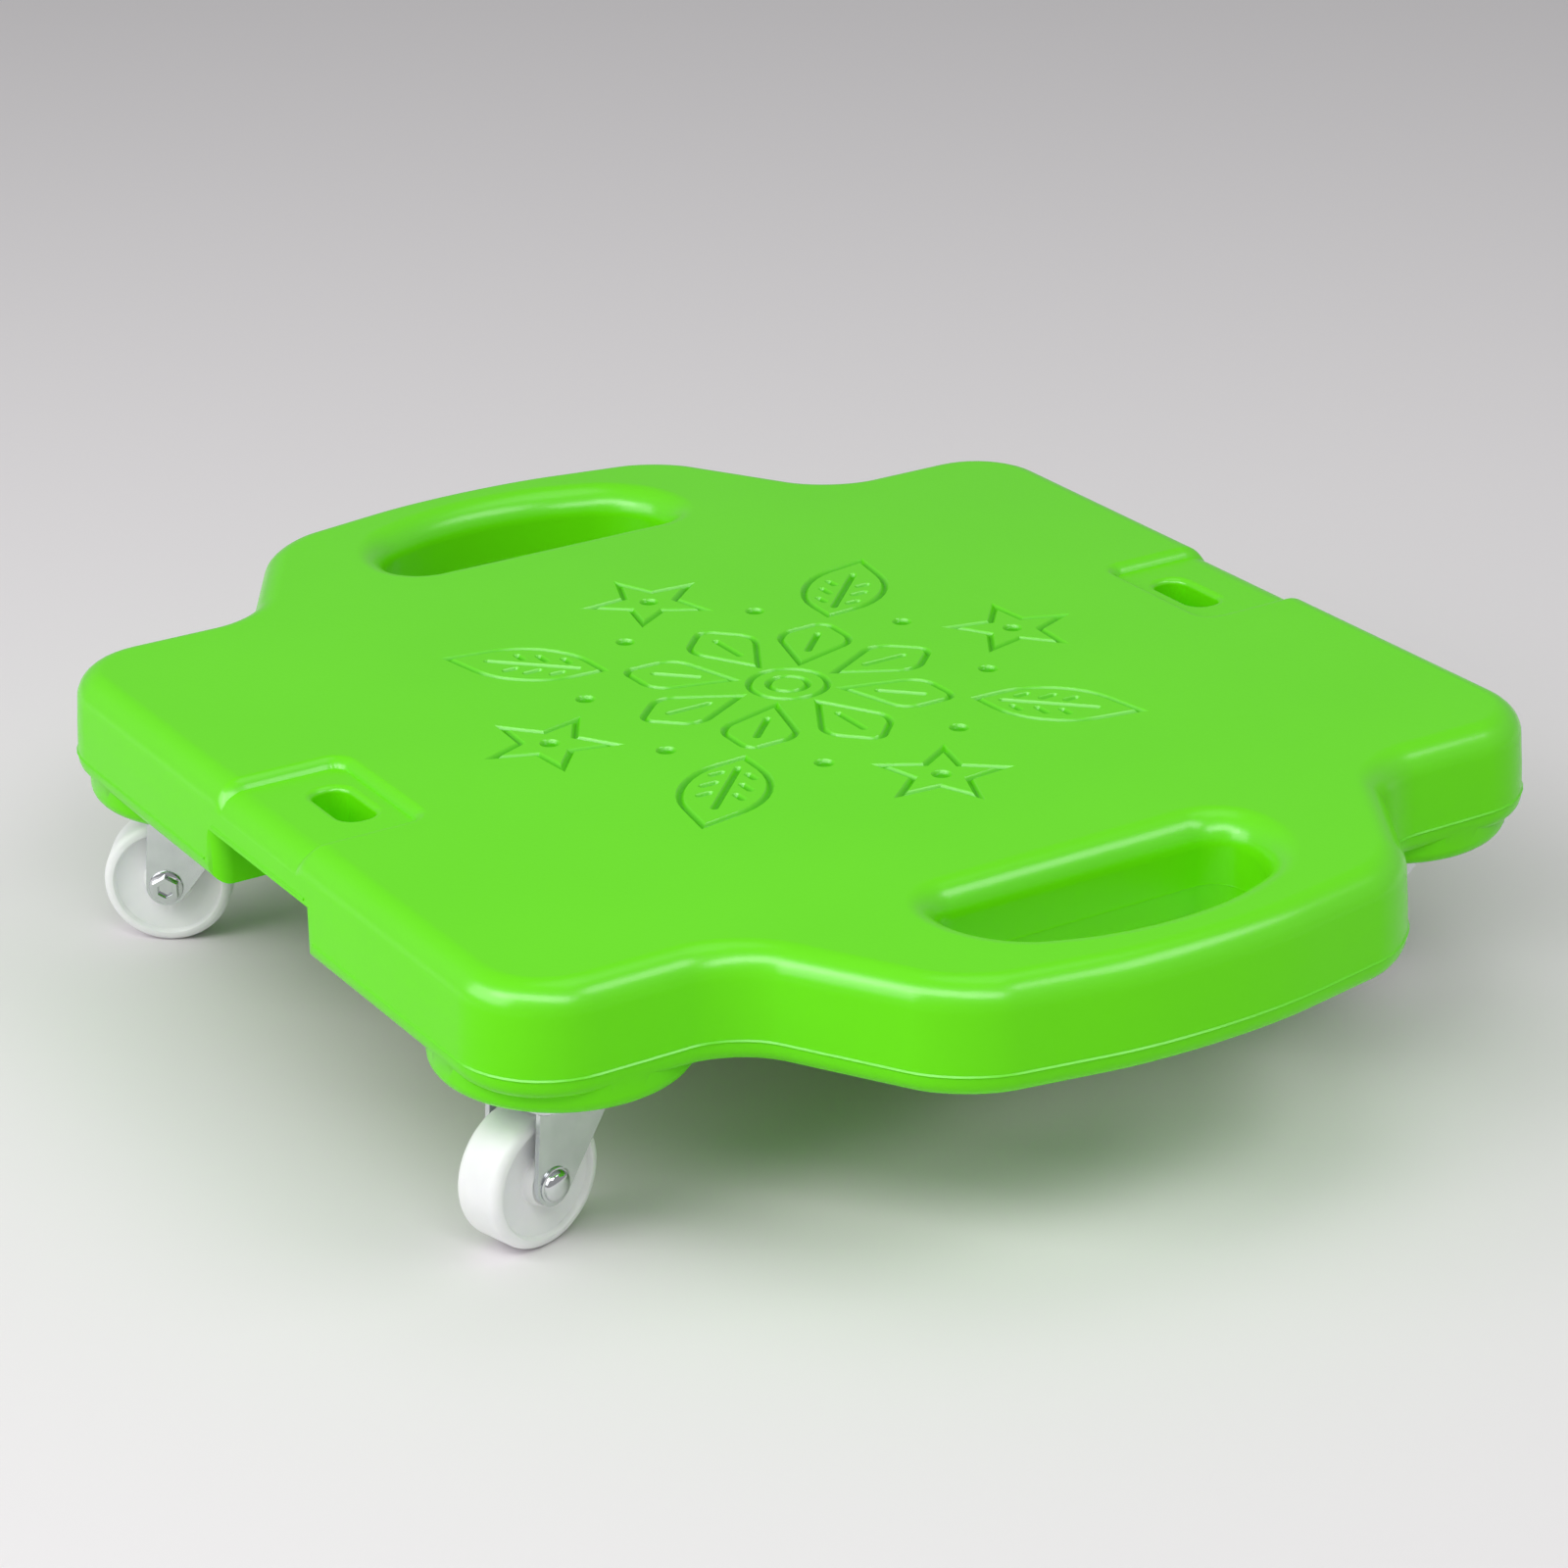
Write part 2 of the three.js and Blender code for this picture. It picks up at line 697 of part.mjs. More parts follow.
// Turns a body made about Z so that it lies along the axle
function alongAxle(solid) {
  return solid.rotate([-90, 0, 0]).translate([-casterTrail, 0, axleZ]);
}

// A shallow dish, trimmed at both sides to sit between the legs
function dustCup() {
  const dish = turned(closedProfile([
    [0, cupBottom],
    [dustCupRadius - dustCupRim, cupBottom],
    [dustCupRadius, cupBottom + dustCupRim],
    [dustCupRadius, cupTop + dustCupRim],
    [dustCupRadius - dustCupRim, cupTop],
    [0, cupTop],
  ]), 20);
  const span = 2 * (legInner - seatGap);
  const strip = new THREE.BoxGeometry(2 * (dustCupRadius + overrun), span, casterHeight);
  return dish.intersect(solidOf(strip));
}

function wheelBody() {
  const tread = wheelWidth / 2;
  const rimInner = wheelRadius - rimThickness;
  const bore = sleeveRadius + sleeveClearance;
  const face = [
    [bore, hubHalf],
    [hubRadius, hubHalf],
    [hubRadius, tread - faceRecess],
    [rimInner, tread],
    [wheelRadius - treadEdge, tread],
    [wheelRadius, tread - treadEdge],
  ];
  const otherFace = face.map(([radius, height]) => [radius, -height]).reverse();
  return turned(closedProfile([...face, ...otherFace].reverse()), 24);
}

function axleSleeve() {
  const half = legInner - seatGap;
  return turned(closedProfile([
    [axleRadius + seatGap, -half],
    [sleeveRadius, -half],
    [sleeveRadius, half],
    [axleRadius + seatGap, half],
  ]), 12);
}

// The bolt's domed head bears on one leg and its end reaches into the nut
function axleBolt() {
  const headBase = legOuter + seatGap;
  const end = -(legOuter + seatGap + nutFlangeHeight);
  const dome = [];
  const domeSteps = 2;
  for (let step = 0; step <= domeSteps; step += 1) {
    const angle = quarterTurn * step / domeSteps;
    dome.push([
      axleHeadRadius * Math.cos(angle),
      headBase + axleHeadHeight * (1 - axleDomeShare * (1 - Math.sin(angle))),
    ]);
  }
  dome.at(-1)[0] = 0;
  return turned([
    [0, end],
    [axleRadius, end],
    [axleRadius, headBase],
    [axleHeadRadius, headBase],
    ...dome,
  ], 12);
}

// A flanged nut, threaded on the bolt's end, with a socket in its outer face
function axleNut() {
  const base = legOuter + seatGap;
  const boreDepth = base + nutFlangeHeight + seatGap;
  const outer = base + nutHeight;
  return turned([
    [axleRadius + seatGap, base],
    [nutFlangeRadius, base],
    [nutFlangeRadius, base + nutFlangeHeight],
    [nutRadius - nutFlangeHeight / 2, base + nutFlangeHeight],
    [nutRadius - nutFlangeHeight, outer],
    [nutSocketRadius, outer],
    [nutSocketRadius, outer - nutSocketDepth],
    [0, outer - nutSocketDepth],
    [0, boreDepth],
    [axleRadius + seatGap, boreDepth],
    [axleRadius + seatGap, base],
  ], 10);
}

// Assembly
const board = new THREE.Group();

function addPiece(parent, name, solid, material) {
  const piece = new THREE.Mesh(geometryOf(solid), material);
  piece.name = name;
  parent.add(piece);
  return piece;
}

addPiece(board, 'board_shell', boardShell(), greenPlastic);

for (const place of cornerPlaces) {
  const mounting = new THREE.Group();
  mounting.position.set(place.x, place.y, casterHeight);
  board.add(mounting);
  addPiece(mounting, `${place.name}_mounting_plate`, mountingPlate(), zincSteel);
  addPiece(mounting, `${place.name}_kingpin`, kingpin(), zincSteel);
  addPiece(mounting, `${place.name}_upper_ball_ring`,
    ballRing(upperRaceRadius, upperBallCount, (plateBottom + crownTop) / 2), brightSteel);
  addPiece(mounting, `${place.name}_lower_ball_ring`,
    ballRing(lowerRaceRadius, lowerBallCount, (flangeTop + crownBottom) / 2), brightSteel);
  screwPlaces().forEach(([x, y], index) => {
    addPiece(mounting, `${place.name}_plate_screw_${index + 1}`, plateScrew().translate([x, y, 0]), zincSteel);
  });

  const swivel = new THREE.Group();
  swivel.setRotationFromAxisAngle(up, THREE.MathUtils.degToRad(place.swivel));
  mounting.add(swivel);
  addPiece(swivel, `${place.name}_fork`, forkBody(), zincSteel);
  addPiece(swivel, `${place.name}_dust_cup`, dustCup(), zincSteel);
  addPiece(swivel, `${place.name}_wheel`, alongAxle(wheelBody()), whiteNylon);
  addPiece(swivel, `${place.name}_axle_sleeve`, alongAxle(axleSleeve()), zincSteel);

  const boltTurn = place.boltSide > 0 ? 0 : 180;
  addPiece(swivel, `${place.name}_axle_bolt`, alongAxle(axleBolt().rotate([boltTurn, 0, 0])), brightSteel);
  addPiece(swivel, `${place.name}_axle_nut`, alongAxle(axleNut().rotate([180 - boltTurn, 0, 0])), brightSteel);
}

export default board;
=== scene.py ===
# Ride-on scooter board on four swivel casters, dressed on its solids.
# Metres, +Z up, in the part's own frame: the casters stand on the floor at height zero.
import json
import math

import bmesh
import bpy
from mathutils import Matrix, Vector

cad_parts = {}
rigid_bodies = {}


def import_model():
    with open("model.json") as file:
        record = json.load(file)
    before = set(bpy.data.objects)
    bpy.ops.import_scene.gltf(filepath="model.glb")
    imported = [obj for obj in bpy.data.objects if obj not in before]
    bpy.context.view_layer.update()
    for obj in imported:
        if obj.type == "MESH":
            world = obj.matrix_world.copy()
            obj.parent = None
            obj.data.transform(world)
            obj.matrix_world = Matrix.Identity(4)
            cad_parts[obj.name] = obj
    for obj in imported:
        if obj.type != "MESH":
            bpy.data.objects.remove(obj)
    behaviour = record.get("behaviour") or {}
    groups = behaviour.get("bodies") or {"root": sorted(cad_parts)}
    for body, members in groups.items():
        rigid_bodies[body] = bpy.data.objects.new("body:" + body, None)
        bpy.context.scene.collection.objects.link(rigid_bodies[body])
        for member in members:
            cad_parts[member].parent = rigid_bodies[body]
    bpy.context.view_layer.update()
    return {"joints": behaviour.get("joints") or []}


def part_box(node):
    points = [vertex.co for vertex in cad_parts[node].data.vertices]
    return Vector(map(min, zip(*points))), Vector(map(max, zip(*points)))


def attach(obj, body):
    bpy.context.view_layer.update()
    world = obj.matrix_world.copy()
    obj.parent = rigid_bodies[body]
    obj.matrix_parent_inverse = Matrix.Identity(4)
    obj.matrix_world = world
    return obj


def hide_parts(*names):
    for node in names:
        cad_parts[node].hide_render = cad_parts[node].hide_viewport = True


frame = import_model()


# Camera. A long lens rather more than a metre away looks down over one corner
# of the board, so that the handles run off to the back left and the near right.
view_turn = math.radians(58.071)
view_tilt = math.radians(23.52)
view_roll = math.radians(-0.749)
camera_place = Vector((1.0389, -0.64935, 0.5890))

away = Vector((math.sin(view_turn) * math.cos(view_tilt),
               -math.cos(view_turn) * math.cos(view_tilt), math.sin(view_tilt)))
across = Vector((math.cos(view_turn), math.sin(view_turn), 0))
camera = bpy.data.objects.new("camera", bpy.data.cameras.new("camera"))
camera.data.lens = 100.02
camera.data.sensor_width = 36
bpy.context.scene.collection.objects.link(camera)
upward = away.cross(across)
rolled = across * math.cos(view_roll) + upward * math.sin(view_roll)
camera.matrix_world = Matrix((rolled, away.cross(rolled), away)).transposed().to_4x4()
camera.location = camera_place
bpy.context.scene.camera = camera


# Board. One hollow shell, blow-moulded in lime green polyethylene between two
# halves of a mould that leave a fine parting line all round. It has two handle
# holes, two link tabs sunk into its top, and a round boss over each caster.
top_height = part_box("board_shell")[1].z
boss_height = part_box("board_shell")[0].z
thickness = 0.033
lower_wall = 0.007
underside = top_height - thickness
parting_height = underside + lower_wall
ridge = 0.00045
half_length = 0.180
half_width = 0.148
end_corner = 0.028
neck_reach = 0.1105
neck_corner = 0.026
shoulder_reach = 0.076
shoulder_place = 0.20570
shoulder_corner = 0.040
handle_tip = 0.21970
handle_arc = 0.220
top_radius = 0.009
bottom_radius = 0.0055
hair = 1e-5

# The wall above the parting line: how much of its draft each step takes, and its rise.
wall_draft = 0.001
wall_steps = [(0.4, 0.0085), (0.2, 0.0025), (0.2, 0.0025), (0.2, 0.0035 - ridge)]


def rounded_face(bm, corners, height, steps):
    """One flat face; each corner is (x, y, radius) and is rounded by a vertex bevel."""
    verts = [bm.verts.new((x, y, height)) for x, y, radius in corners]
    face = bm.faces.new(verts)
    for index, vert in enumerate(verts):
        x, y, radius = corners[index]
        if radius == 0:
            continue
        before = Vector(corners[index - 1][:2]) - Vector((x, y))
        after = Vector(corners[(index + 1) % len(corners)][:2]) - Vector((x, y))
        half_turn = (math.pi - before.angle(after)) / 2
        reach = radius * math.tan(half_turn) * (1 + math.sqrt(0.5)) / (1 + math.cos(half_turn))
        arc = bmesh.ops.bevel(bm, geom=[vert], offset=reach, offset_type="OFFSET",
                              affect="VERTICES", segments=steps, profile=0.5, material=-1)
        face = arc["verts"][0].link_faces[0]
    face.normal_update()
    return face


def raised(bm, face, levels):
    """Builds walls on a face, level by level: each level is (inset, rise)."""
    for inset, rise in levels:
        bmesh.ops.inset_region(bm, faces=[face], thickness=inset, depth=rise,
                               use_boundary=True, use_even_offset=True)
    return face


def round_levels(radius, steps):
    """Insets and rises of a quarter round, from the wall over to the flat."""
    angles = [math.pi / 2 * step / steps for step in range(steps + 1)]
    return [(radius * (math.cos(a) - math.cos(b)), radius * (math.sin(b) - math.sin(a)))
            for a, b in zip(angles, angles[1:])]


def new_piece(name, bm):
    """A smooth-shaded mesh object at the origin from a finished bmesh."""
    bmesh.ops.recalc_face_normals(bm, faces=bm.faces)
    for face in bm.faces:
        face.smooth = True
    mesh = bpy.data.meshes.new(name)
    bm.to_mesh(mesh)
    bm.free()
    piece = bpy.data.objects.new(name, mesh)
    bpy.context.scene.collection.objects.link(piece)
    return piece


def carved(blank, tool, operation):
    """Cuts, joins or trims one object by another and removes the tool."""
    step = blank.modifiers.new("step", "BOOLEAN")
    step.operation = operation
    step.solver = "EXACT"
    step.object = tool
    bpy.context.view_layer.update()
    finished = blank.evaluated_get(bpy.context.evaluated_depsgraph_get())
    shaped = bpy.data.meshes.new_from_object(finished)
    blank.modifiers.remove(step)
    blank.data = shaped
    bpy.data.objects.remove(tool)
    return blank


def sided(side, corners):
    """The corners as given for side 1, or turned half round the board for side -1."""
    return [(side * x, side * y, radius) for x, y, radius in corners]


flank = [(half_width, -half_length, end_corner), (half_width, -neck_reach, neck_corner),
         (shoulder_place, -shoulder_reach, shoulder_corner), (handle_tip, 0, handle_arc),
         (shoulder_place, shoulder_reach, shoulder_corner), (half_width, neck_reach, neck_corner),
         (half_width, half_length, end_corner)]
blank = bmesh.new()
outline = rounded_face(blank, sided(1, flank) + sided(-1, flank), parting_height, 10)
raised(blank, outline, [(0, ridge)] + [(wall_draft * share, rise) for share, rise in wall_steps]
       + round_levels(top_radius, 10))
rim = [edge for edge in blank.edges if edge.is_boundary]
floor_face = bmesh.ops.contextual_create(blank, geom=rim)["faces"][0]
floor_face.normal_update()
if floor_face.normal.z > 0:
    floor_face.normal_flip()
raised(blank, floor_face, [(0, ridge), (0, lower_wall - ridge - bottom_radius)]
       + round_levels(bottom_radius, 6))
for vert in blank.verts:
    if abs(vert.co.z - parting_height) < ridge / 4:
        side = Vector((vert.normal.x, vert.normal.y, 0)).normalized()
        vert.co += side * ridge


# The top round each link tab gets a fine square grid, in which the recess is sunk later.
tab_field = 0.036
field_start = 0.130
field_cuts = 107
straight_end = 0.118


def split(point, normal, wanted):
    """Cuts a straight line through the faces whose middle is wanted."""
    faces = [face for face in blank.faces if wanted(face.calc_center_median())]
    geom = faces + list({edge for face in faces for edge in face.edges}) \
        + list({vert for face in faces for vert in face.verts})
    bmesh.ops.bisect_plane(blank, geom=geom, dist=1e-6, plane_co=point, plane_no=normal)


def crossed(edge, side):
    """Whether an edge of the tab's field runs across it, or lies in the board's top."""
    start, end = (vert.co for vert in edge.verts)
    within = all(abs(place.x) < tab_field + hair and place.y * side > field_start - hair
                 and place.z > parting_height + ridge / 2 for place in (start, end))
    return within and (abs(start.x - end.x) > tab_field
                       or min(start.z, end.z) > top_height - hair)


for side in (-1, 1):
    split((0, side * field_start, 0), (0, 1, 0), lambda middle: middle.z > top_height - hair)
    for edge_x in (-tab_field, tab_field):
        split((edge_x, 0, 0), (1, 0, 0),
              lambda middle: middle.z > parting_height + ridge and middle.y * side > field_start
              and abs(middle.x) < straight_end)
for side in (-1, 1):
    field = [edge for edge in blank.edges if crossed(edge, side)]
    bmesh.ops.subdivide_edges(blank, edges=field, cuts=field_cuts, use_grid_fill=True)
board = new_piece("board", blank)

# The bosses stand on the underside, one over each kingpin.
boss_radius = 0.0372
boss_wall = 0.007
boss_round = 0.0045
bosses = bmesh.new()
boss_places = []
for corner in ("front_left", "front_right", "back_right", "back_left"):
    low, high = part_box(corner + "_kingpin")
    place = (low + high) / 2
    boss_places.append((corner, Vector((place.x, place.y, boss_height))))
    root = Matrix.Translation((place.x, place.y, underside + bottom_radius))
    disc = bmesh.ops.create_circle(bosses, cap_ends=True, radius=boss_radius, segments=72,
                                   matrix=root)
    cap = disc["verts"][0].link_faces[0]
    cap.normal_flip()
    cap.normal_update()
    raised(bosses, cap, [(0, boss_wall)] + round_levels(boss_round, 6)
           + [(0, underside + bottom_radius - boss_wall - boss_round - boss_height)])
    boss_rim = [edge for edge in bosses.edges if edge.is_boundary]
    bmesh.ops.contextual_create(bosses, geom=boss_rim)
carved(board, new_piece("bosses", bosses), "UNION")

# The handle holes widen to a soft lip at both ends, with the parting line inside them.
hole_inner = 0.150
hole_inner_corner = 0.010
hole_tip = 0.19866
hole_arc = 0.090
hole_setback = 0.020
hole_corner = 0.026
hole_reach = 0.051
hole_lip = 0.0095
hole_bottom_lip = 0.005
hole_wall = 0.007
hole_ridge = 0.0002

# Each link tab has a slot through it and a notch in the board's edge below it.
tongue_underside = 0.0733
tab_half_width = 0.0285
slot_place = 0.151
slot_half_length = 0.0125
slot_half_width = 0.00575
slot_corner = 0.0052
slot_lip = 0.0022
notch_back = 0.134
notch_corner = 0.007
notch_mouth = 0.0352
notch_mouth_corner = 0.006
notch_end = 0.184
blow_radius = 0.004
overcut = 0.002

hole = [(hole_inner, -hole_reach, hole_inner_corner),
        (hole_tip - hole_setback, -hole_reach, hole_corner), (hole_tip, 0, hole_arc),
        (hole_tip - hole_setback, hole_reach, hole_corner),
        (hole_inner, hole_reach, hole_inner_corner)]
hole_levels = ([(-hole_bottom_lip, 0), (0, overcut)] + round_levels(hole_bottom_lip, 5)[::-1]
               + [(0, hole_wall), (hole_ridge, ridge), (-hole_ridge, ridge),
                  (0, top_height - hole_lip - underside - hole_bottom_lip - hole_wall - 2 * ridge)]
               + [(-inset, rise) for inset, rise in round_levels(hole_lip, 9)] + [(0, overcut)])
slot = [(-slot_half_length, slot_place - slot_half_width, slot_corner),
        (slot_half_length, slot_place - slot_half_width, slot_corner),
        (slot_half_length, slot_place + slot_half_width, slot_corner),
        (-slot_half_length, slot_place + slot_half_width, slot_corner)]
slot_levels = ([(0, top_height - slot_lip - tongue_underside + overcut)]
               + [(-inset, rise) for inset, rise in round_levels(slot_lip, 6)] + [(0, overcut)])
notch = [(tab_half_width, -notch_back, notch_corner), (-tab_half_width, -notch_back, notch_corner),
         (-tab_half_width, -half_length, notch_mouth_corner), (-notch_mouth, -half_length, 0),
         (-notch_mouth, -notch_end, 0), (notch_mouth, -notch_end, 0),
         (notch_mouth, -half_length, 0), (tab_half_width, -half_length, notch_mouth_corner)]

tools = bmesh.new()
for side in (-1, 1):
    raised(tools, rounded_face(tools, sided(side, hole), underside - overcut, 8), hole_levels)
    raised(tools, rounded_face(tools, sided(side, slot), tongue_underside - overcut, 8),
           slot_levels)
    raised(tools, rounded_face(tools, sided(side, notch), underside - overcut, 6),
           [(0, tongue_underside - underside + overcut)])
blow_hole = bmesh.ops.create_circle(tools, cap_ends=True, radius=blow_radius, segments=32,
                                    matrix=Matrix.Translation((0, 0, underside - overcut)))
raised(tools, blow_hole["verts"][0].link_faces[0], [(0, 2 * overcut)])
bmesh.ops.holes_fill(tools, edges=[edge for edge in tools.edges if edge.is_boundary], sides=0)
carved(board, new_piece("tools", tools), "DIFFERENCE")

# A fine level seam, left by the mould's insert, crosses the tongue above each notch.
seam_length = 0.060
seam_thick = 0.0008
seam_rise = 0.0016
seam_height = tongue_underside + seam_rise
seam_lean = (seam_height - parting_height) / (top_height - top_radius - parting_height) * wall_draft
for side in (-1, 1):
    seam = bmesh.new()
    bar = bmesh.ops.create_cube(seam, size=1)
    place = (Matrix.Translation((0, side * (half_length - seam_lean), seam_height))
             @ Matrix.Rotation(math.pi / 4, 4, "X")
             @ Matrix.Diagonal((seam_length, seam_thick, seam_thick, 1)))
    bmesh.ops.transform(seam, matrix=place, verts=bar["verts"])
    carved(board, new_piece("seam", seam), "UNION")

# The engraving is cut by soft-bottomed rings that follow closed outlines in the deck,
# and by shallow pockets. Its places are those of the grooves in the solid.
groove_reach = 0.0016
groove_depth = 0.0013
groove_brim = 0.00015
pocket_bottom = 0.00015
groove_steps = 6
groove_rises = [(groove_depth + groove_brim) * (math.cos(math.pi * step / groove_steps)
                                                - math.cos(math.pi * (step + 1) / groove_steps)) / 2
                for step in range(groove_steps)]


def turned(corners, angle):
    """Corners turned about the middle of the board."""
    spin = Matrix.Rotation(angle, 2)
    return [(*(spin @ Vector((x, y))), radius) for x, y, radius in corners]


def oval(start, end, radius):
    """The corners of a shape along the X axis with half-round ends, or of a circle."""
    turns = [math.pi * (step + 0.5) / 16 for step in range(32)]
    return [((end if math.sin(turn) > 0 else start) + radius * math.sin(turn),
             -radius * math.cos(turn), 0) for turn in turns]


def groove(bm, corners):
    """Adds a closed ring whose underside is a soft groove along the outline."""
    bottom = top_height - groove_depth
    inward = raised(bm, rounded_face(bm, corners, bottom, 8),
                    [(groove_reach / groove_steps, rise) for rise in groove_rises])
    outward = raised(bm, rounded_face(bm, corners, bottom, 8),
                     [(-groove_reach / groove_steps, rise) for rise in groove_rises])
    cover = raised(bm, outward, [(2 * groove_reach, 0)])
    bmesh.ops.delete(bm, geom=[inward, cover], context="FACES")


def pocket(bm, corners):
    """Adds a closed plug with a soft edge, from an outline at its widest."""
    reach = (groove_reach - pocket_bottom) / groove_steps
    raised(bm, rounded_face(bm, corners, top_height + groove_brim, 8),
           [(reach, -rise) for rise in reversed(groove_rises)])


# A flower of eight petals round an eye, four leaves and four stars in turn, and small dots.
# Places are distances from the middle of the board.
eye_rings = (0.012, 0.006)
petal = [(0.017, 0, 0), (0.039, -0.0125, 0.008), (0.052, 0, 0.004), (0.039, 0.0125, 0.008)]
petal_rib = (0.028, 0.042)
dot_place = 0.062
dot_radius = 0.0034
star_place = 0.083
star_tip = 0.019
star_waist = 0.0085
star = [(star_place + reach * math.cos(math.pi * index / 5),
         reach * math.sin(math.pi * index / 5), 0)
        for index, reach in enumerate([star_tip, star_waist] * 5)]
leaf = [(0.058, 0, 0), (0.080, -0.020, 0.026), (0.108, 0, 0), (0.080, 0.020, 0.026)]
leaf_rib = (0.066, 0.095)
vein_gap = 0.0055
veins = ((0.066, 0.0035), (0.0735, 0.0045), (0.081, 0.0035))

engraving = bmesh.new()
for radius in eye_rings:
    groove(engraving, oval(0, 0, radius))
for index in range(8):
    heading = math.pi / 4 * index
    groove(engraving, turned(petal, heading))
    pocket(engraving, turned(oval(*petal_rib, groove_reach), heading))
    pocket(engraving, turned(oval(dot_place, dot_place, dot_radius), heading + math.pi / 8))
for index in range(4):
    heading = math.pi / 2 * index
    groove(engraving, turned(star, heading))
    pocket(engraving, turned(oval(star_place, star_place, dot_radius), heading))
    heading += math.pi / 4
    groove(engraving, turned(leaf, heading))
    pocket(engraving, turned(oval(*leaf_rib, groove_reach), heading))
    for reach, length in veins:
        for side in (-1, 1):
            vein = turned(oval(vein_gap, vein_gap + length, groove_reach), side * math.pi / 4)
            pocket(engraving, turned([(x + reach, y, radius) for x, y, radius in vein], heading))
bmesh.ops.remove_doubles(engraving, verts=engraving.verts, dist=2e-6)
open_edges = [edge for edge in engraving.edges if edge.is_boundary]
bmesh.ops.holes_fill(engraving, edges=open_edges, sides=0)
carved(board, new_piece("engraving", engraving), "DIFFERENCE")

# The top of each link tab is sunk, with a foot that is steep at the top and soft below.
# It fades out over the board's rounded edge.
tab_back = 0.136
tab_depth = 0.0027
tab_corner = 0.008
tab_slope = 0.0036
foot_ease = 0.3
detail = bmesh.new()
detail.from_mesh(board.data)


def eased_step(value):
    """From 0 to 1 with soft ends."""
    value = min(max(value, 0), 1)
    return value * value * (3 - 2 * value)


for vert in detail.verts:
    x, y, z = vert.co
    if z > top_height - top_radius and abs(y) > field_start and abs(x) < tab_field - hair:
        aside = abs(x) - tab_half_width + tab_corner
        behind = tab_back + tab_corner - abs(y)
        outside = Vector((max(aside, 0), max(behind, 0))).length
        outside += min(max(aside, behind), 0) - tab_corner
        share = min(max(-outside / tab_slope, 0), 1)
        steep = 1 - math.sqrt(1 - share * share)
        sunk = tab_depth * (foot_ease * eased_step(share) + (1 - foot_ease) * steep)
        vert.co.z -= sunk * math.sqrt(min(max((z - top_height) / top_radius + 1, 0), 1))
detail.to_mesh(board.data)
detail.free()


# Painted shade in the grooves: the colour darkens from just below the deck to their bottoms, within
# a shallow lens
# round the engraving: heights count many times over, so that it leaves out the underside.
shade_start = 0.0002
deepest_shade = 0.75
lens_reach = 0.118
lens_squeeze = 20


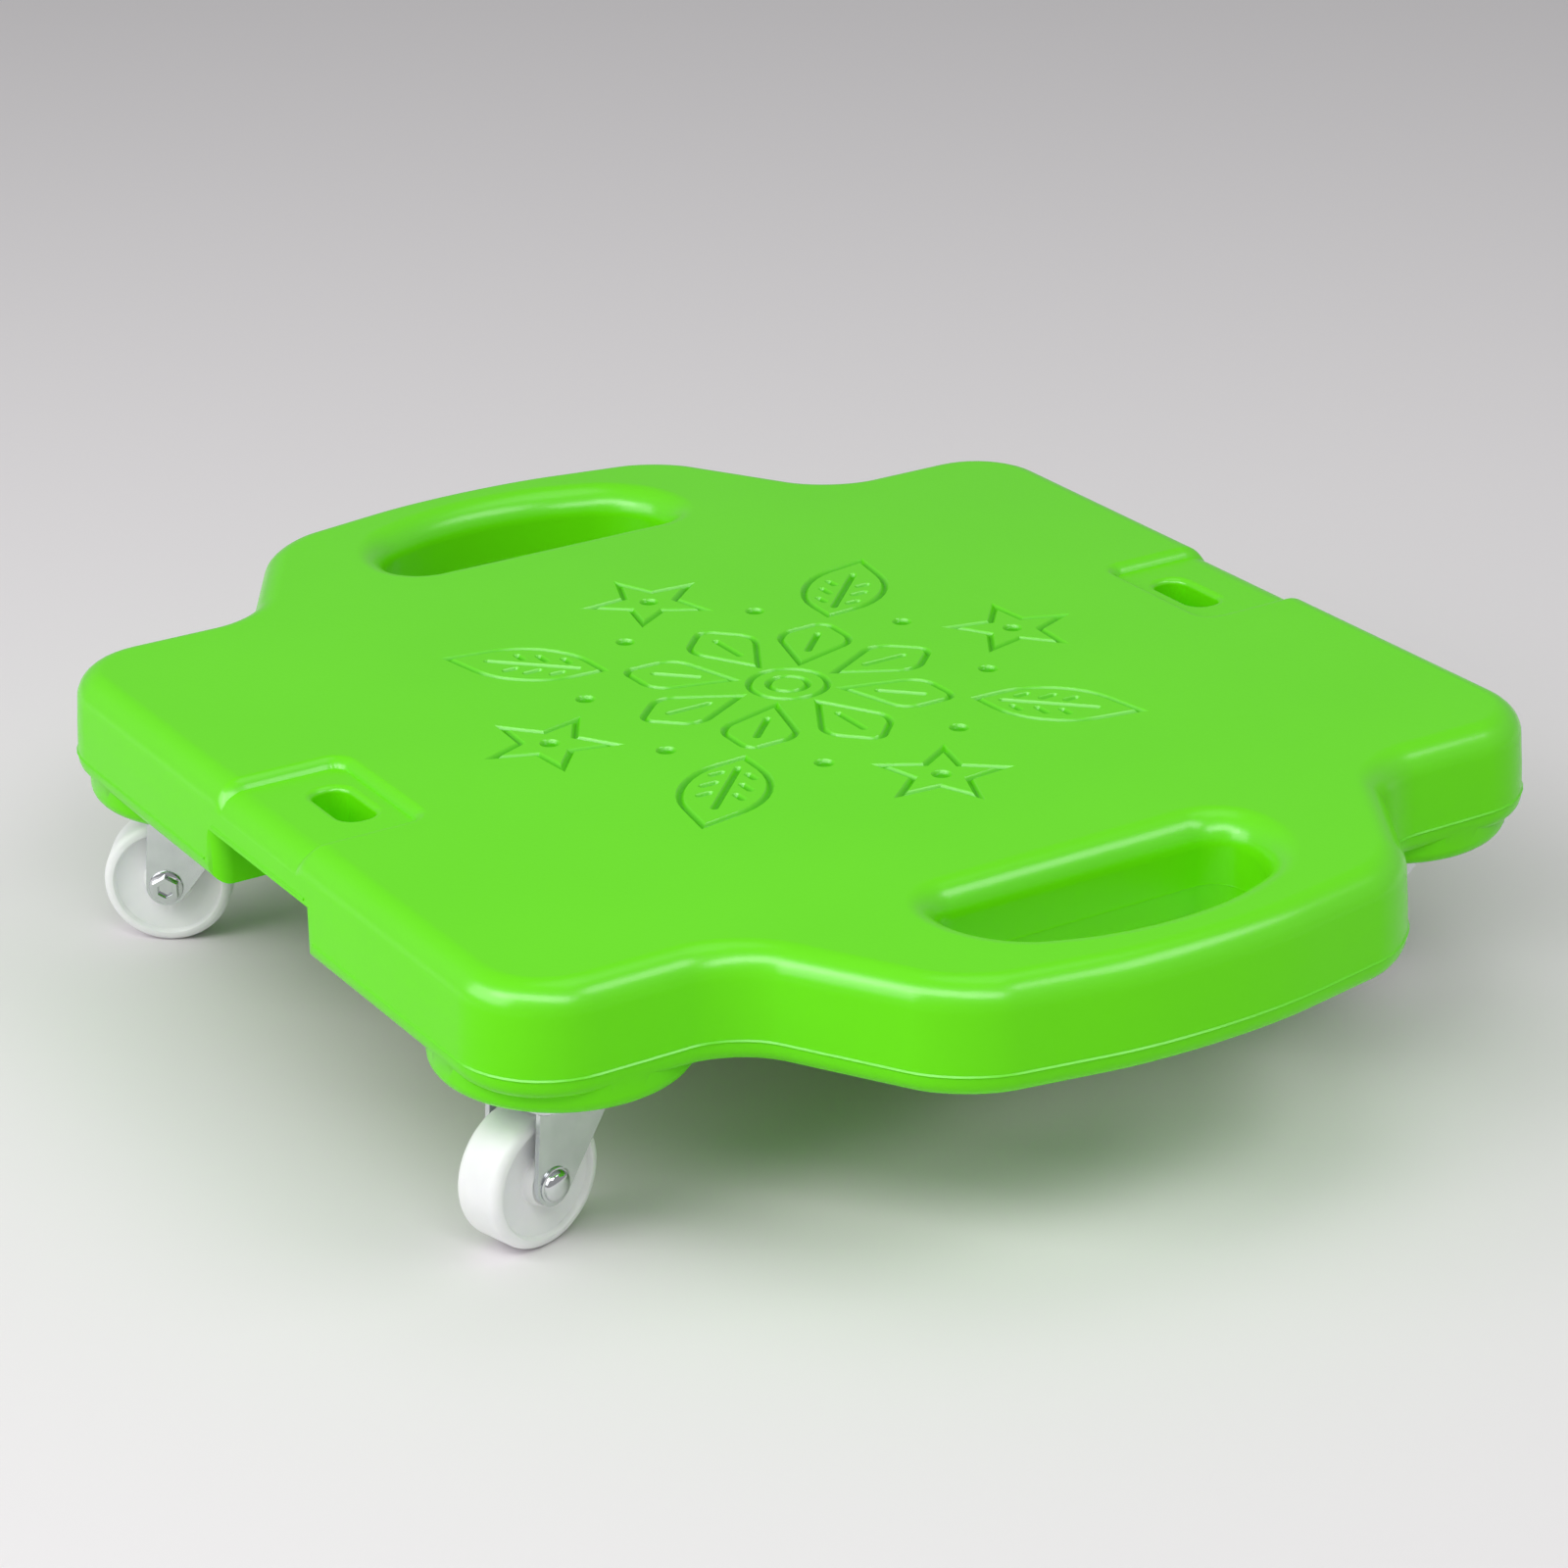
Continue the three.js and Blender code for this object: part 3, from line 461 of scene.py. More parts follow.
def lime_green():
    """Semi-gloss polyethylene: lime green, faintly mottled, with the mould's fine grain.

    The specular level is highest on slanting faces, a painted highlight along the rounded
    edges. The engraved grooves carry painted shade: deeper in colour and duller.
    """
    green = bpy.data.materials.new("lime_green_plastic")
    green.use_nodes = True
    nodes, links = green.node_tree.nodes, green.node_tree.links
    shader = nodes["Principled BSDF"]
    place = nodes.new("ShaderNodeTexCoord")
    mottle = nodes.new("ShaderNodeTexNoise")
    mottle.inputs["Scale"].default_value = 14
    mottle.inputs["Detail"].default_value = 3
    tint = nodes.new("ShaderNodeValToRGB")
    tint.color_ramp.interpolation = "EASE"
    tint.color_ramp.elements[0].color = (0.138, 0.750, 0.003, 1)
    tint.color_ramp.elements[1].color = (0.148, 0.785, 0.004, 1)
    links.new(place.outputs["Object"], mottle.inputs["Vector"])
    links.new(mottle.outputs["Fac"], tint.inputs["Fac"])
    axes = nodes.new("ShaderNodeSeparateXYZ")
    sunk = nodes.new("ShaderNodeMapRange")
    sunk.inputs["From Min"].default_value = top_height - shade_start
    sunk.inputs["From Max"].default_value = top_height - groove_depth
    sunk.inputs["To Max"].default_value = deepest_shade
    flat = nodes.new("ShaderNodeVectorMath")
    flat.operation = "MULTIPLY_ADD"
    flat.inputs[1].default_value = (1, 1, lens_squeeze)
    flat.inputs[2].default_value = (0, 0, -lens_squeeze * top_height)
    reach = nodes.new("ShaderNodeVectorMath")
    reach.operation = "LENGTH"
    inside = nodes.new("ShaderNodeMath")
    inside.operation = "LESS_THAN"
    inside.inputs[1].default_value = lens_reach
    shade = nodes.new("ShaderNodeMath")
    shade.operation = "MULTIPLY"
    # Painted shade: the grooves' colour is mixed towards a darker green, most at their bottoms.
    painted_groove_shade = nodes.new("ShaderNodeMix")
    painted_groove_shade.data_type = "RGBA"
    painted_groove_shade.inputs["B"].default_value = (0.045, 0.43, 0.001, 1)
    links.new(place.outputs["Object"], axes.inputs["Vector"])
    links.new(axes.outputs["Z"], sunk.inputs["Value"])
    links.new(place.outputs["Object"], flat.inputs[0])
    links.new(flat.outputs["Vector"], reach.inputs[0])
    links.new(reach.outputs["Value"], inside.inputs[0])
    links.new(sunk.outputs["Result"], shade.inputs[0])
    links.new(inside.outputs["Value"], shade.inputs[1])
    links.new(shade.outputs["Value"], painted_groove_shade.inputs["Factor"])
    links.new(tint.outputs["Color"], painted_groove_shade.inputs["A"])
    links.new(painted_groove_shade.outputs["Result"], shader.inputs["Base Color"])
    gloss = nodes.new("ShaderNodeMapRange")
    gloss.inputs["To Min"].default_value = 0.235
    gloss.inputs["To Max"].default_value = 0.27
    links.new(mottle.outputs["Fac"], gloss.inputs["Value"])
    links.new(gloss.outputs["Result"], shader.inputs["Roughness"])
    # Painted highlight: the specular level follows how steeply a face slants, highest on the
    # rounded edges.
    facing = nodes.new("ShaderNodeSeparateXYZ")
    painted_edge_sheen = nodes.new("ShaderNodeValToRGB")
    for position, level in ((0.12, 0.16), (0.5, 0.85), (0.75, 0.85), (0.985, 0.28)):
        stop = painted_edge_sheen.color_ramp.elements.new(position)
        stop.color = (level, level, level, 1)
    for end in (painted_edge_sheen.color_ramp.elements[-1], painted_edge_sheen.color_ramp.elements[0]):
        painted_edge_sheen.color_ramp.elements.remove(end)
    links.new(place.outputs["Normal"], facing.inputs["Vector"])
    links.new(facing.outputs["Z"], painted_edge_sheen.inputs["Fac"])
    # Painted shade: in the grooves the specular level is mixed down too, so that they read darker.
    shaded_groove_gloss = nodes.new("ShaderNodeMix")
    shaded_groove_gloss.inputs["B"].default_value = 0.12
    links.new(shade.outputs["Value"], shaded_groove_gloss.inputs["Factor"])
    links.new(painted_edge_sheen.outputs["Color"], shaded_groove_gloss.inputs["A"])
    links.new(shaded_groove_gloss.outputs["Result"], shader.inputs["Specular IOR Level"])
    grain = nodes.new("ShaderNodeTexNoise")
    grain.inputs["Scale"].default_value = 900
    grain.inputs["Detail"].default_value = 2
    links.new(place.outputs["Object"], grain.inputs["Vector"])
    fine = nodes.new("ShaderNodeBump")
    fine.inputs["Strength"].default_value = 0.12
    fine.inputs["Distance"].default_value = 0.0003
    links.new(grain.outputs["Fac"], fine.inputs["Height"])
    links.new(fine.outputs["Normal"], shader.inputs["Normal"])
    return green


board.data.materials.append(lime_green())
board.data.set_sharp_from_angle(angle=math.radians(38))
even = board.modifiers.new("even", "WEIGHTED_NORMAL")
even.keep_sharp = True
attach(board, "board")
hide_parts("board_shell")


# Mounting plates. A pressed, zinc-plated steel plate under each boss carries its
# caster; a raised ring on it is the upper ball race. Four screws hold it.
plate_corner = 0.007
plate_ease = 0.0004
plate_bore = 0.0032
bore_length = 0.01
sharp_turn = 0.5
race_radius = 0.0112
race_section = [(-0.0016, 0.0004), (-0.0012, -0.0006), (-0.0006, -0.00105), (0, -0.0008),
                (0.0005, -0.0002), (0.0007, 0.0004)]
corners = [corner for corner, place in boss_places]


def zinc_plate():
    """Bright zinc plating over rolled steel: cool grey, soft reflections, faint waviness."""
    zinc = bpy.data.materials.new("zinc_plated_steel")
    zinc.use_nodes = True
    nodes, links = zinc.node_tree.nodes, zinc.node_tree.links
    shader = nodes["Principled BSDF"]
    shader.inputs["Metallic"].default_value = 1.0
    place = nodes.new("ShaderNodeTexCoord")
    cloud = nodes.new("ShaderNodeTexNoise")
    cloud.inputs["Scale"].default_value = 160
    cloud.inputs["Detail"].default_value = 4
    tint = nodes.new("ShaderNodeValToRGB")
    tint.color_ramp.elements[0].position = 0.25
    tint.color_ramp.elements[0].color = (0.64, 0.665, 0.68, 1)
    tint.color_ramp.elements[1].position = 0.75
    tint.color_ramp.elements[1].color = (0.76, 0.78, 0.795, 1)
    polish = nodes.new("ShaderNodeMapRange")
    polish.inputs["To Min"].default_value = 0.20
    polish.inputs["To Max"].default_value = 0.27
    dents = nodes.new("ShaderNodeTexNoise")
    dents.inputs["Scale"].default_value = 60
    relief = nodes.new("ShaderNodeBump")
    relief.inputs["Strength"].default_value = 0.12
    relief.inputs["Distance"].default_value = 0.0004
    for texture in (cloud, dents):
        links.new(place.outputs["Object"], texture.inputs["Vector"])
    links.new(cloud.outputs["Fac"], tint.inputs["Fac"])
    links.new(tint.outputs["Color"], shader.inputs["Base Color"])
    links.new(cloud.outputs["Fac"], polish.inputs["Value"])
    links.new(polish.outputs["Result"], shader.inputs["Roughness"])
    links.new(dents.outputs["Fac"], relief.inputs["Height"])
    links.new(relief.outputs["Normal"], shader.inputs["Normal"])
    return zinc


zinc = zinc_plate()


def spun(profile, steps, closed=False):
    """Turns (radius, height) points once round the Z axis."""
    bm = bmesh.new()
    verts = [bm.verts.new((radius, 0, height)) for radius, height in profile]
    edges = [bm.edges.new(pair) for pair in zip(verts, verts[1:])]
    if closed:
        edges.append(bm.edges.new((verts[-1], verts[0])))
    bmesh.ops.spin(bm, geom=verts + edges, cent=(0, 0, 0), axis=(0, 0, 1), angle=2 * math.pi,
                   steps=steps, use_merge=True)
    bmesh.ops.remove_doubles(bm, verts=bm.verts, dist=1e-6)
    bmesh.ops.recalc_face_normals(bm, faces=bm.faces)
    return bm


def rod(radius, low, high, steps):
    """A round bar about the Z axis."""
    return spun([(0, low), (radius, low), (radius, high), (0, high)], steps)


def fitted(name, bm, place, body, nodes, material):
    """Puts a piece in its place on its body, in its finish, instead of the named solids."""
    bmesh.ops.transform(bm, matrix=place, verts=bm.verts)
    piece = new_piece(name, bm)
    piece.data.set_sharp_from_angle(angle=math.radians(40))
    piece.data.materials.append(material)
    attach(piece, body)
    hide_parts(*nodes)
    return piece


for corner, place in boss_places:
    low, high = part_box(corner + "_mounting_plate")
    plate = bmesh.new()
    sheet = rounded_face(plate, [(low.x, low.y, plate_corner), (high.x, low.y, plate_corner),
                                 (high.x, high.y, plate_corner), (low.x, high.y, plate_corner)],
                         low.z, 6)
    raised(plate, sheet, [(0, high.z - low.z)])
    bmesh.ops.holes_fill(plate, edges=[edge for edge in plate.edges if edge.is_boundary], sides=0)
    bmesh.ops.recalc_face_normals(plate, faces=plate.faces)
    sharp = [edge for edge in plate.edges
             if edge.is_manifold and edge.calc_face_angle() > sharp_turn]
    bmesh.ops.bevel(plate, geom=sharp, offset=plate_ease, offset_type="OFFSET", affect="EDGES",
                    segments=2, profile=0.5, material=-1, clamp_overlap=True)
    plate_piece = new_piece(corner + "_plate", plate)
    seat = Matrix.Translation((place.x, place.y, low.z))
    race = spun([(race_radius + out, up) for out, up in race_section], 48, closed=True)
    bmesh.ops.transform(race, matrix=seat, verts=race.verts)
    carved(plate_piece, new_piece("race", race), "UNION")
    bore = rod(plate_bore, -bore_length, bore_length, 32)
    bmesh.ops.transform(bore, matrix=seat, verts=bore.verts)
    carved(plate_piece, new_piece("bore", bore), "DIFFERENCE")
    plate_piece.data.set_sharp_from_angle(angle=math.radians(35))
    plate_piece.data.materials.append(zinc)
    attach(plate_piece, "board")
    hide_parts(corner + "_mounting_plate")


# Screws. Sixteen pan-head, cross-recess steel screws, zinc-plated, driven up
# through the plates into the plastic of the bosses.
screw_head = 0.0035
screw_rise = 0.0019
screw_shank = 0.0022
shank_length = 0.009
screw_length = 0.011
recess_span = 0.0036
recess_bar = 0.00085
recess_height = 0.002
head_curve = [(0, 1), (0.45, 0.95), (0.8, 0.72), (0.97, 0.35), (1, 0.1)]
head_foot = 0.98


def pan_screw():
    """One screw, head down, with the underside of its head at height zero."""
    head = [(screw_head * out, -screw_rise * down) for out, down in head_curve]
    shank = [(screw_head * head_foot, 0), (screw_shank, 0), (screw_shank, shank_length),
             (0, screw_length)]
    screw = new_piece("screw", spun(head + shank, 32))
    for wide, deep in ((recess_span, recess_bar), (recess_bar, recess_span)):
        blade = bmesh.new()
        bmesh.ops.create_cube(blade, size=1)
        bmesh.ops.scale(blade, vec=(wide, deep, recess_height), verts=blade.verts)
        bmesh.ops.translate(blade, vec=(0, 0, -screw_rise), verts=blade.verts)
        carved(screw, new_piece("blade", blade), "DIFFERENCE")
    mesh = screw.data
    bpy.data.objects.remove(screw)
    return mesh


# Each screw stopped at a turn of its own.
screw_turn = 0.7
screw_mesh = pan_screw()
for index, corner in enumerate(corners):
    screws = bmesh.new()
    nodes = []
    for number in range(1, 5):
        node = corner + "_plate_screw_" + str(number)
        nodes.append(node)
        low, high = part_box(node)
        one = bmesh.new()
        one.from_mesh(screw_mesh)
        turn = Matrix.Rotation(screw_turn * (4 * index + number), 4, "Z")
        seat = Matrix.Translation(((low.x + high.x) / 2, (low.y + high.y) / 2, low.z + screw_rise))
        bmesh.ops.transform(one, matrix=seat @ turn, verts=one.verts)
        part = bpy.data.meshes.new("part")
        one.to_mesh(part)
        one.free()
        screws.from_mesh(part)
        bpy.data.meshes.remove(part)
    fitted(corner + "_screws", screws, Matrix.Identity(4), "board", nodes, zinc)


# Forks. One U-shaped pressing of zinc-plated sheet steel to each caster: a crown
# that turns on the kingpin, and two legs that taper down to the axle.
sheet = 0.0016
wheel_radius = 0.020
trail = 0.015
leg_inner = 0.0090
leg_outer = leg_inner + sheet
crown_top = -0.0032
crown_front = 0.021
crown_rear = 0.017
crown_depth = 0.0030
leg_overhang = 0.0045
leg_front = -trail - leg_overhang
leg_rear = 0.011
leg_front_drop = 0.004
leg_rear_drop = 0.0035
leg_end = 0.0063
bend_radius = 0.0028
fork_bore = 0.0036
axle_level = wheel_radius - boss_height
bar_length = 0.08
bar_height = 0.06
overshoot = 0.001


def caster_place(corner):
    """The caster's own frame: its swivel axis, level with the boss, and turned as it stands."""
    axis = next(joint["axis"] for joint in frame["joints"] if joint["name"] == corner + "_spin")
    place = dict(boss_places)[corner]
    return Matrix.Translation(place) @ Matrix.Rotation(math.atan2(-axis[0], axis[1]), 4, "Z")


def tangent(foot, radius, start, side):
    """Where a line from start touches the round end of a leg."""
    to_start = start - foot
    swing = math.acos(radius / to_start.length)
    return foot + (Matrix.Rotation(side * swing, 2) @ to_start.normalized()) * radius


def prism(points, low, high, place):
    """A straight bar with the given outline, laid in place."""
    bm = bmesh.new()
    face = bm.faces.new([bm.verts.new((x, y, low)) for x, y in points])
    face.normal_update()
    if face.normal.z < 0:
        face.normal_flip()
        face.normal_update()
    raised(bm, face, [(0, high - low)])
    bmesh.ops.holes_fill(bm, edges=[edge for edge in bm.edges if edge.is_boundary], sides=0)
    bmesh.ops.transform(bm, matrix=place, verts=bm.verts)
    return new_piece("bar", bm)


def channel(half, top, radius):
    """A bar along the fork with its two upper long edges rounded."""
    bm = bmesh.new()
    bar = bmesh.ops.create_cube(bm, size=1)
    bmesh.ops.scale(bm, vec=(bar_length, 2 * half, bar_height), verts=bar["verts"])
    bmesh.ops.translate(bm, vec=(0, 0, top - bar_height / 2), verts=bar["verts"])
    edges = [edge for edge in bm.edges if all(vert.co.z > top - 1e-6 for vert in edge.verts)
             and abs(edge.verts[0].co.y - edge.verts[1].co.y) < 1e-6]
    bmesh.ops.bevel(bm, geom=edges, offset=radius, offset_type="OFFSET", affect="EDGES",
                    segments=8, profile=0.5, material=-1)
    return new_piece("channel", bm)


def fork_mesh():
    """One fork in the caster's own frame: a bent channel trimmed to its outlines and bored."""
    fork = channel(leg_outer, crown_top, bend_radius)
    foot = Vector((-trail, axle_level))
    front = Vector((leg_front, crown_top - leg_front_drop))
    rear = Vector((leg_rear, crown_top - leg_rear_drop))
    front_touch = tangent(foot, leg_end, front, 1)
    rear_touch = tangent(foot, leg_end, rear, -1)
    first = math.atan2(*(front_touch - foot).yx)
    last = math.atan2(*(rear_touch - foot).yx)
    if last < first:
        last += 2 * math.pi
    arc = [foot + leg_end * Vector((math.cos(angle), math.sin(angle)))
           for angle in (first + (last - first) * step / 20 for step in range(21))]
    leg_outline = [Vector((leg_front, overshoot)), front] + arc
    leg_outline += [rear, Vector((leg_rear, overshoot))]
    upright = Matrix.Rotation(math.pi / 2, 4, "X")
    legs = prism([tuple(point) for point in leg_outline], -bar_height / 2, bar_height / 2, upright)
    crown_outline = [(-crown_front * math.cos(angle), crown_front * math.sin(angle))
                     for angle in (math.pi * (step / 28 - 0.5) for step in range(29))]
    crown_outline += [(crown_rear * math.cos(angle), crown_rear * math.sin(angle))
                      for angle in (math.pi * (0.5 - step / 28) for step in range(29))]
    crown = prism(crown_outline, crown_top - crown_depth, overshoot, Matrix.Identity(4))
    carved(legs, crown, "UNION")
    carved(fork, legs, "INTERSECT")
    carved(fork, channel(leg_inner, crown_top - sheet, bend_radius - sheet), "DIFFERENCE")
    bore = rod(fork_bore, -2 * bore_length, bore_length, 40)
    carved(fork, new_piece("bore", bore), "DIFFERENCE")
    mesh = fork.data
    bpy.data.objects.remove(fork)
    return mesh


fork_blank = fork_mesh()
for corner in corners:
    bm = bmesh.new()
    bm.from_mesh(fork_blank)
    bmesh.ops.remove_doubles(bm, verts=bm.verts, dist=2e-6)
    fork = fitted(corner + "_fork_sheet", bm, caster_place(corner), corner + "_caster",
                  [corner + "_fork"], zinc)
    rounded = fork.modifiers.new("rounded", "BEVEL")
    rounded.width = 0.00028
    rounded.segments = 2
    rounded.limit_method = "ANGLE"
    rounded.angle_limit = math.radians(40)
    rounded.harden_normals = True


# Dust cups. A small pressed dish under each crown keeps grit out of the lower
# balls; its sides are cut flat to pass between the legs, and its rim turns down.
cup_radius = 0.017
cup_half_width = 0.0087
cup_bore = 0.0036
cup_sheet = 0.0008
cup_outer = [(-0.0016, 0), (-0.0006, -0.0003), (0, -0.0010)]
cup_inner = [(-cup_sheet, -0.0011), (-0.0012, -cup_sheet)]

for corner in corners:
    low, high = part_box(corner + "_dust_cup")
    top, bottom = high.z - boss_height, low.z - boss_height
    outer = [(cup_radius + out, top + up) for out, up in cup_outer]
    inner = [(cup_radius + out, top + up) for out, up in cup_inner]
    dish = spun([(cup_bore, top)] + outer + [(cup_radius, bottom), (cup_radius - cup_sheet, bottom)]
                + inner + [(cup_bore, top - cup_sheet)], 64, closed=True)
    for side in (-1, 1):
        geom = dish.verts[:] + dish.edges[:] + dish.faces[:]
        bmesh.ops.bisect_plane(dish, geom=geom, dist=1e-7, plane_co=(0, side * cup_half_width, 0),
                               plane_no=(0, side, 0), clear_outer=True)
        bmesh.ops.holes_fill(dish, edges=[edge for edge in dish.edges if edge.is_boundary], sides=0)
    fitted(corner + "_cup", dish, caster_place(corner), corner + "_caster", [corner + "_dust_cup"],
           zinc)


# Kingpins, ball rings and axle sleeves. The kingpin, riveted to the plate, carries the
# fork between two rings of oiled steel balls, and a zinc-plated sleeve keeps the fork's
# legs apart. All keep the solids' own shapes.
ball_steel = zinc.copy()
ball_steel.name = "oiled_steel"
ball_shader = ball_steel.node_tree.nodes["Principled BSDF"]
ball_shader.inputs["Specular Tint"].default_value = (0.9, 0.9, 0.9, 1)
for node in ball_steel.node_tree.nodes:
    if node.bl_idname == "ShaderNodeValToRGB":
        node.color_ramp.elements[0].color = (0.30, 0.31, 0.32, 1)
        node.color_ramp.elements[1].color = (0.42, 0.43, 0.44, 1)
for corner in corners:
    for kind, finish in (("_kingpin", zinc), ("_axle_sleeve", zinc),
                         ("_upper_ball_ring", ball_steel), ("_lower_ball_ring", ball_steel)):
        for slot in bpy.data.objects[corner + kind].material_slots:
            slot.material = finish


# Wheels. Forty-millimetre wheels of white nylon, a little translucent, with eased
# treads, dished faces and a short hub that runs on a steel sleeve.
wheel_half = 0.008
tread_edge = 0.0026
rim_inner = 0.0166
face_recess = 0.0022
face_level = wheel_half - face_recess
hub_radius = 0.007
hub_half = 0.0085
bore_radius = 0.0041
wheel_ease = 0.0004


def milky_nylon():
    """White nylon: cool, softly see-through, faintly hazy, with a very fine grain."""
    nylon = bpy.data.materials.new("milky_nylon")
    nylon.use_nodes = True
    nodes, links = nylon.node_tree.nodes, nylon.node_tree.links
    shader = nodes["Principled BSDF"]
    shader.inputs["Subsurface Weight"].default_value = 0.55
    shader.inputs["Subsurface Radius"].default_value = (0.006, 0.006, 0.0065)
    shader.inputs["Subsurface Scale"].default_value = 1.0
    shader.inputs["Specular IOR Level"].default_value = 0.5
    place = nodes.new("ShaderNodeTexCoord")
    haze = nodes.new("ShaderNodeTexNoise")
    haze.inputs["Scale"].default_value = 70
    haze.inputs["Detail"].default_value = 3
    tint = nodes.new("ShaderNodeValToRGB")
    tint.color_ramp.elements[0].position = 0.3
    tint.color_ramp.elements[0].color = (0.86, 0.865, 0.88, 1)
    tint.color_ramp.elements[1].position = 0.7
    tint.color_ramp.elements[1].color = (0.92, 0.925, 0.935, 1)
    gloss = nodes.new("ShaderNodeMapRange")
    gloss.inputs["To Min"].default_value = 0.28
    gloss.inputs["To Max"].default_value = 0.38
    grain = nodes.new("ShaderNodeTexNoise")
    grain.inputs["Scale"].default_value = 1400
    relief = nodes.new("ShaderNodeBump")
    relief.inputs["Strength"].default_value = 0.1
    relief.inputs["Distance"].default_value = 0.0002
    for texture in (haze, grain):
        links.new(place.outputs["Object"], texture.inputs["Vector"])
    links.new(haze.outputs["Fac"], tint.inputs["Fac"])
    links.new(tint.outputs["Color"], shader.inputs["Base Color"])
    links.new(haze.outputs["Fac"], gloss.inputs["Value"])
    links.new(gloss.outputs["Result"], shader.inputs["Roughness"])
    links.new(grain.outputs["Fac"], relief.inputs["Height"])
    links.new(relief.outputs["Normal"], shader.inputs["Normal"])
    return nylon


nylon = milky_nylon()


def axle_place(corner, side):
    """The axle's own frame: the middle of the wheel, with Z along the axle to the given side."""
    return (caster_place(corner) @ Matrix.Translation((-trail, 0, axle_level))
            @ Matrix.Rotation(-side * math.pi / 2, 4, "X"))


tread = [(wheel_radius - tread_edge * (1 - math.cos(math.pi / 2 * step / 6)),
          wheel_half - tread_edge * (1 - math.sin(math.pi / 2 * step / 6))) for step in range(7)]
wheel_side = [(bore_radius, hub_half), (hub_radius - wheel_ease, hub_half),
              (hub_radius, hub_half - wheel_ease), (hub_radius + 0.0003, face_level),
              (hub_radius + 0.0009, face_level - 0.0005), (rim_inner - 0.0012, face_level + 0.0003),
              (rim_inner - 0.0004, face_level + 0.0007), (rim_inner, wheel_half - wheel_ease),
              (rim_inner + wheel_ease, wheel_half)] + tread[::-1]
for corner in corners:
    profile = wheel_side + [(radius, -height) for radius, height in reversed(wheel_side)]
    wheel = spun(profile, 96, closed=True)
    fitted(corner + "_nylon_wheel", wheel, axle_place(corner, 1), corner + "_wheel_body",
           [corner + "_wheel"], nylon)


# Axle bolts and nuts. A chromed bolt with a domed head goes through both legs,
# and a flanged nut with a hexagon socket closes it on the other side.
bolt_radius = 0.0028
bolt_start = -leg_outer - 0.001
bolt_ease = 0.0002
dome_radius = 0.0045
dome_rise = 0.0031
dome_step = 0.0003
dome_steps = 10
flange_radius = 0.0053
flange_rise = 0.0006
nut_radius = 0.0047
nut_rise = 0.0030
nut_ease = 0.0004
across_flats = 0.866
socket_radius = 0.0023
socket_depth = 0.0016
socket_ease = 0.0002
washer_rise = 0.0011
sliver = 0.0001


def bright_chrome():
    """Chrome plating: near-mirror bright with the faintest haze."""
    chrome = bpy.data.materials.new("bright_chrome")
    chrome.use_nodes = True
    nodes, links = chrome.node_tree.nodes, chrome.node_tree.links
    shader = nodes["Principled BSDF"]
    shader.inputs["Metallic"].default_value = 1.0
    place = nodes.new("ShaderNodeTexCoord")
    haze = nodes.new("ShaderNodeTexNoise")
    haze.inputs["Scale"].default_value = 400
    haze.inputs["Detail"].default_value = 3
    tint = nodes.new("ShaderNodeValToRGB")
    tint.color_ramp.elements[0].color = (0.60, 0.62, 0.635, 1)
    tint.color_ramp.elements[1].color = (0.74, 0.755, 0.77, 1)
    polish = nodes.new("ShaderNodeMapRange")
    polish.inputs["To Min"].default_value = 0.05
    polish.inputs["To Max"].default_value = 0.13
    links.new(place.outputs["Object"], haze.inputs["Vector"])
    links.new(haze.outputs["Fac"], tint.inputs["Fac"])
    links.new(tint.outputs["Color"], shader.inputs["Base Color"])
    links.new(haze.outputs["Fac"], polish.inputs["Value"])
    links.new(polish.outputs["Result"], shader.inputs["Roughness"])
    return chrome


chrome = bright_chrome()
face = leg_outer
flange_top = face + flange_rise
dome_foot = flange_top + dome_step
quarter = [math.pi / 2 * step / dome_steps for step in range(1, dome_steps)]
dome = [(dome_radius * math.cos(angle),
         dome_foot + (dome_rise - flange_rise - dome_step) * math.sin(angle)) for angle in quarter]
bolt_side = [(0, bolt_start), (bolt_radius, bolt_start), (bolt_radius, face),
             (flange_radius - bolt_ease, face), (flange_radius, face + bolt_ease),
             (flange_radius, flange_top - bolt_ease), (flange_radius - dome_step, flange_top),
             (dome_radius + sliver, flange_top), (dome_radius, dome_foot)]
bolt_side += dome + [(0, face + dome_rise)]
nut_levels = [(0, nut_rise - nut_ease), (nut_ease, nut_ease),
              (nut_radius * across_flats - nut_ease - socket_radius, 0),
              (sliver, -socket_ease), (0, socket_ease - socket_depth)]
flange_side = [(0, face - sliver), (flange_radius, face - sliver),
               (flange_radius + sliver, face + 0.0003), (flange_radius - sliver, face + 0.0007),
               (nut_radius * 0.9, face + washer_rise), (0, face + washer_rise)]
for corner in corners:
    nut_low, nut_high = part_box(corner + "_axle_nut")
    leaning = caster_place(corner).inverted() @ ((nut_low + nut_high) / 2)
    side = -1 if leaning.y > 0 else 1
    fitted(corner + "_domed_bolt", spun(bolt_side, 48), axle_place(corner, side),
           corner + "_caster", [corner + "_axle_bolt"], chrome)
    nut = bmesh.new()
    hexagon = bmesh.ops.create_circle(nut, cap_ends=True, radius=nut_radius, segments=6,
                                      matrix=Matrix.Translation((0, 0, face)))
    cap = hexagon["verts"][0].link_faces[0]
    cap.normal_update()
    raised(nut, cap, nut_levels)
    bmesh.ops.holes_fill(nut, edges=[edge for edge in nut.edges if edge.is_boundary], sides=0)
    nut_piece = carved(new_piece("nut", nut), new_piece("flange", spun(flange_side, 48)), "UNION")
    joined = bmesh.new()
    joined.from_mesh(nut_piece.data)
    bpy.data.objects.remove(nut_piece)
    fitted(corner + "_flanged_nut", joined, axle_place(corner, -side), corner + "_caster",
           [corner + "_axle_nut"], chrome)
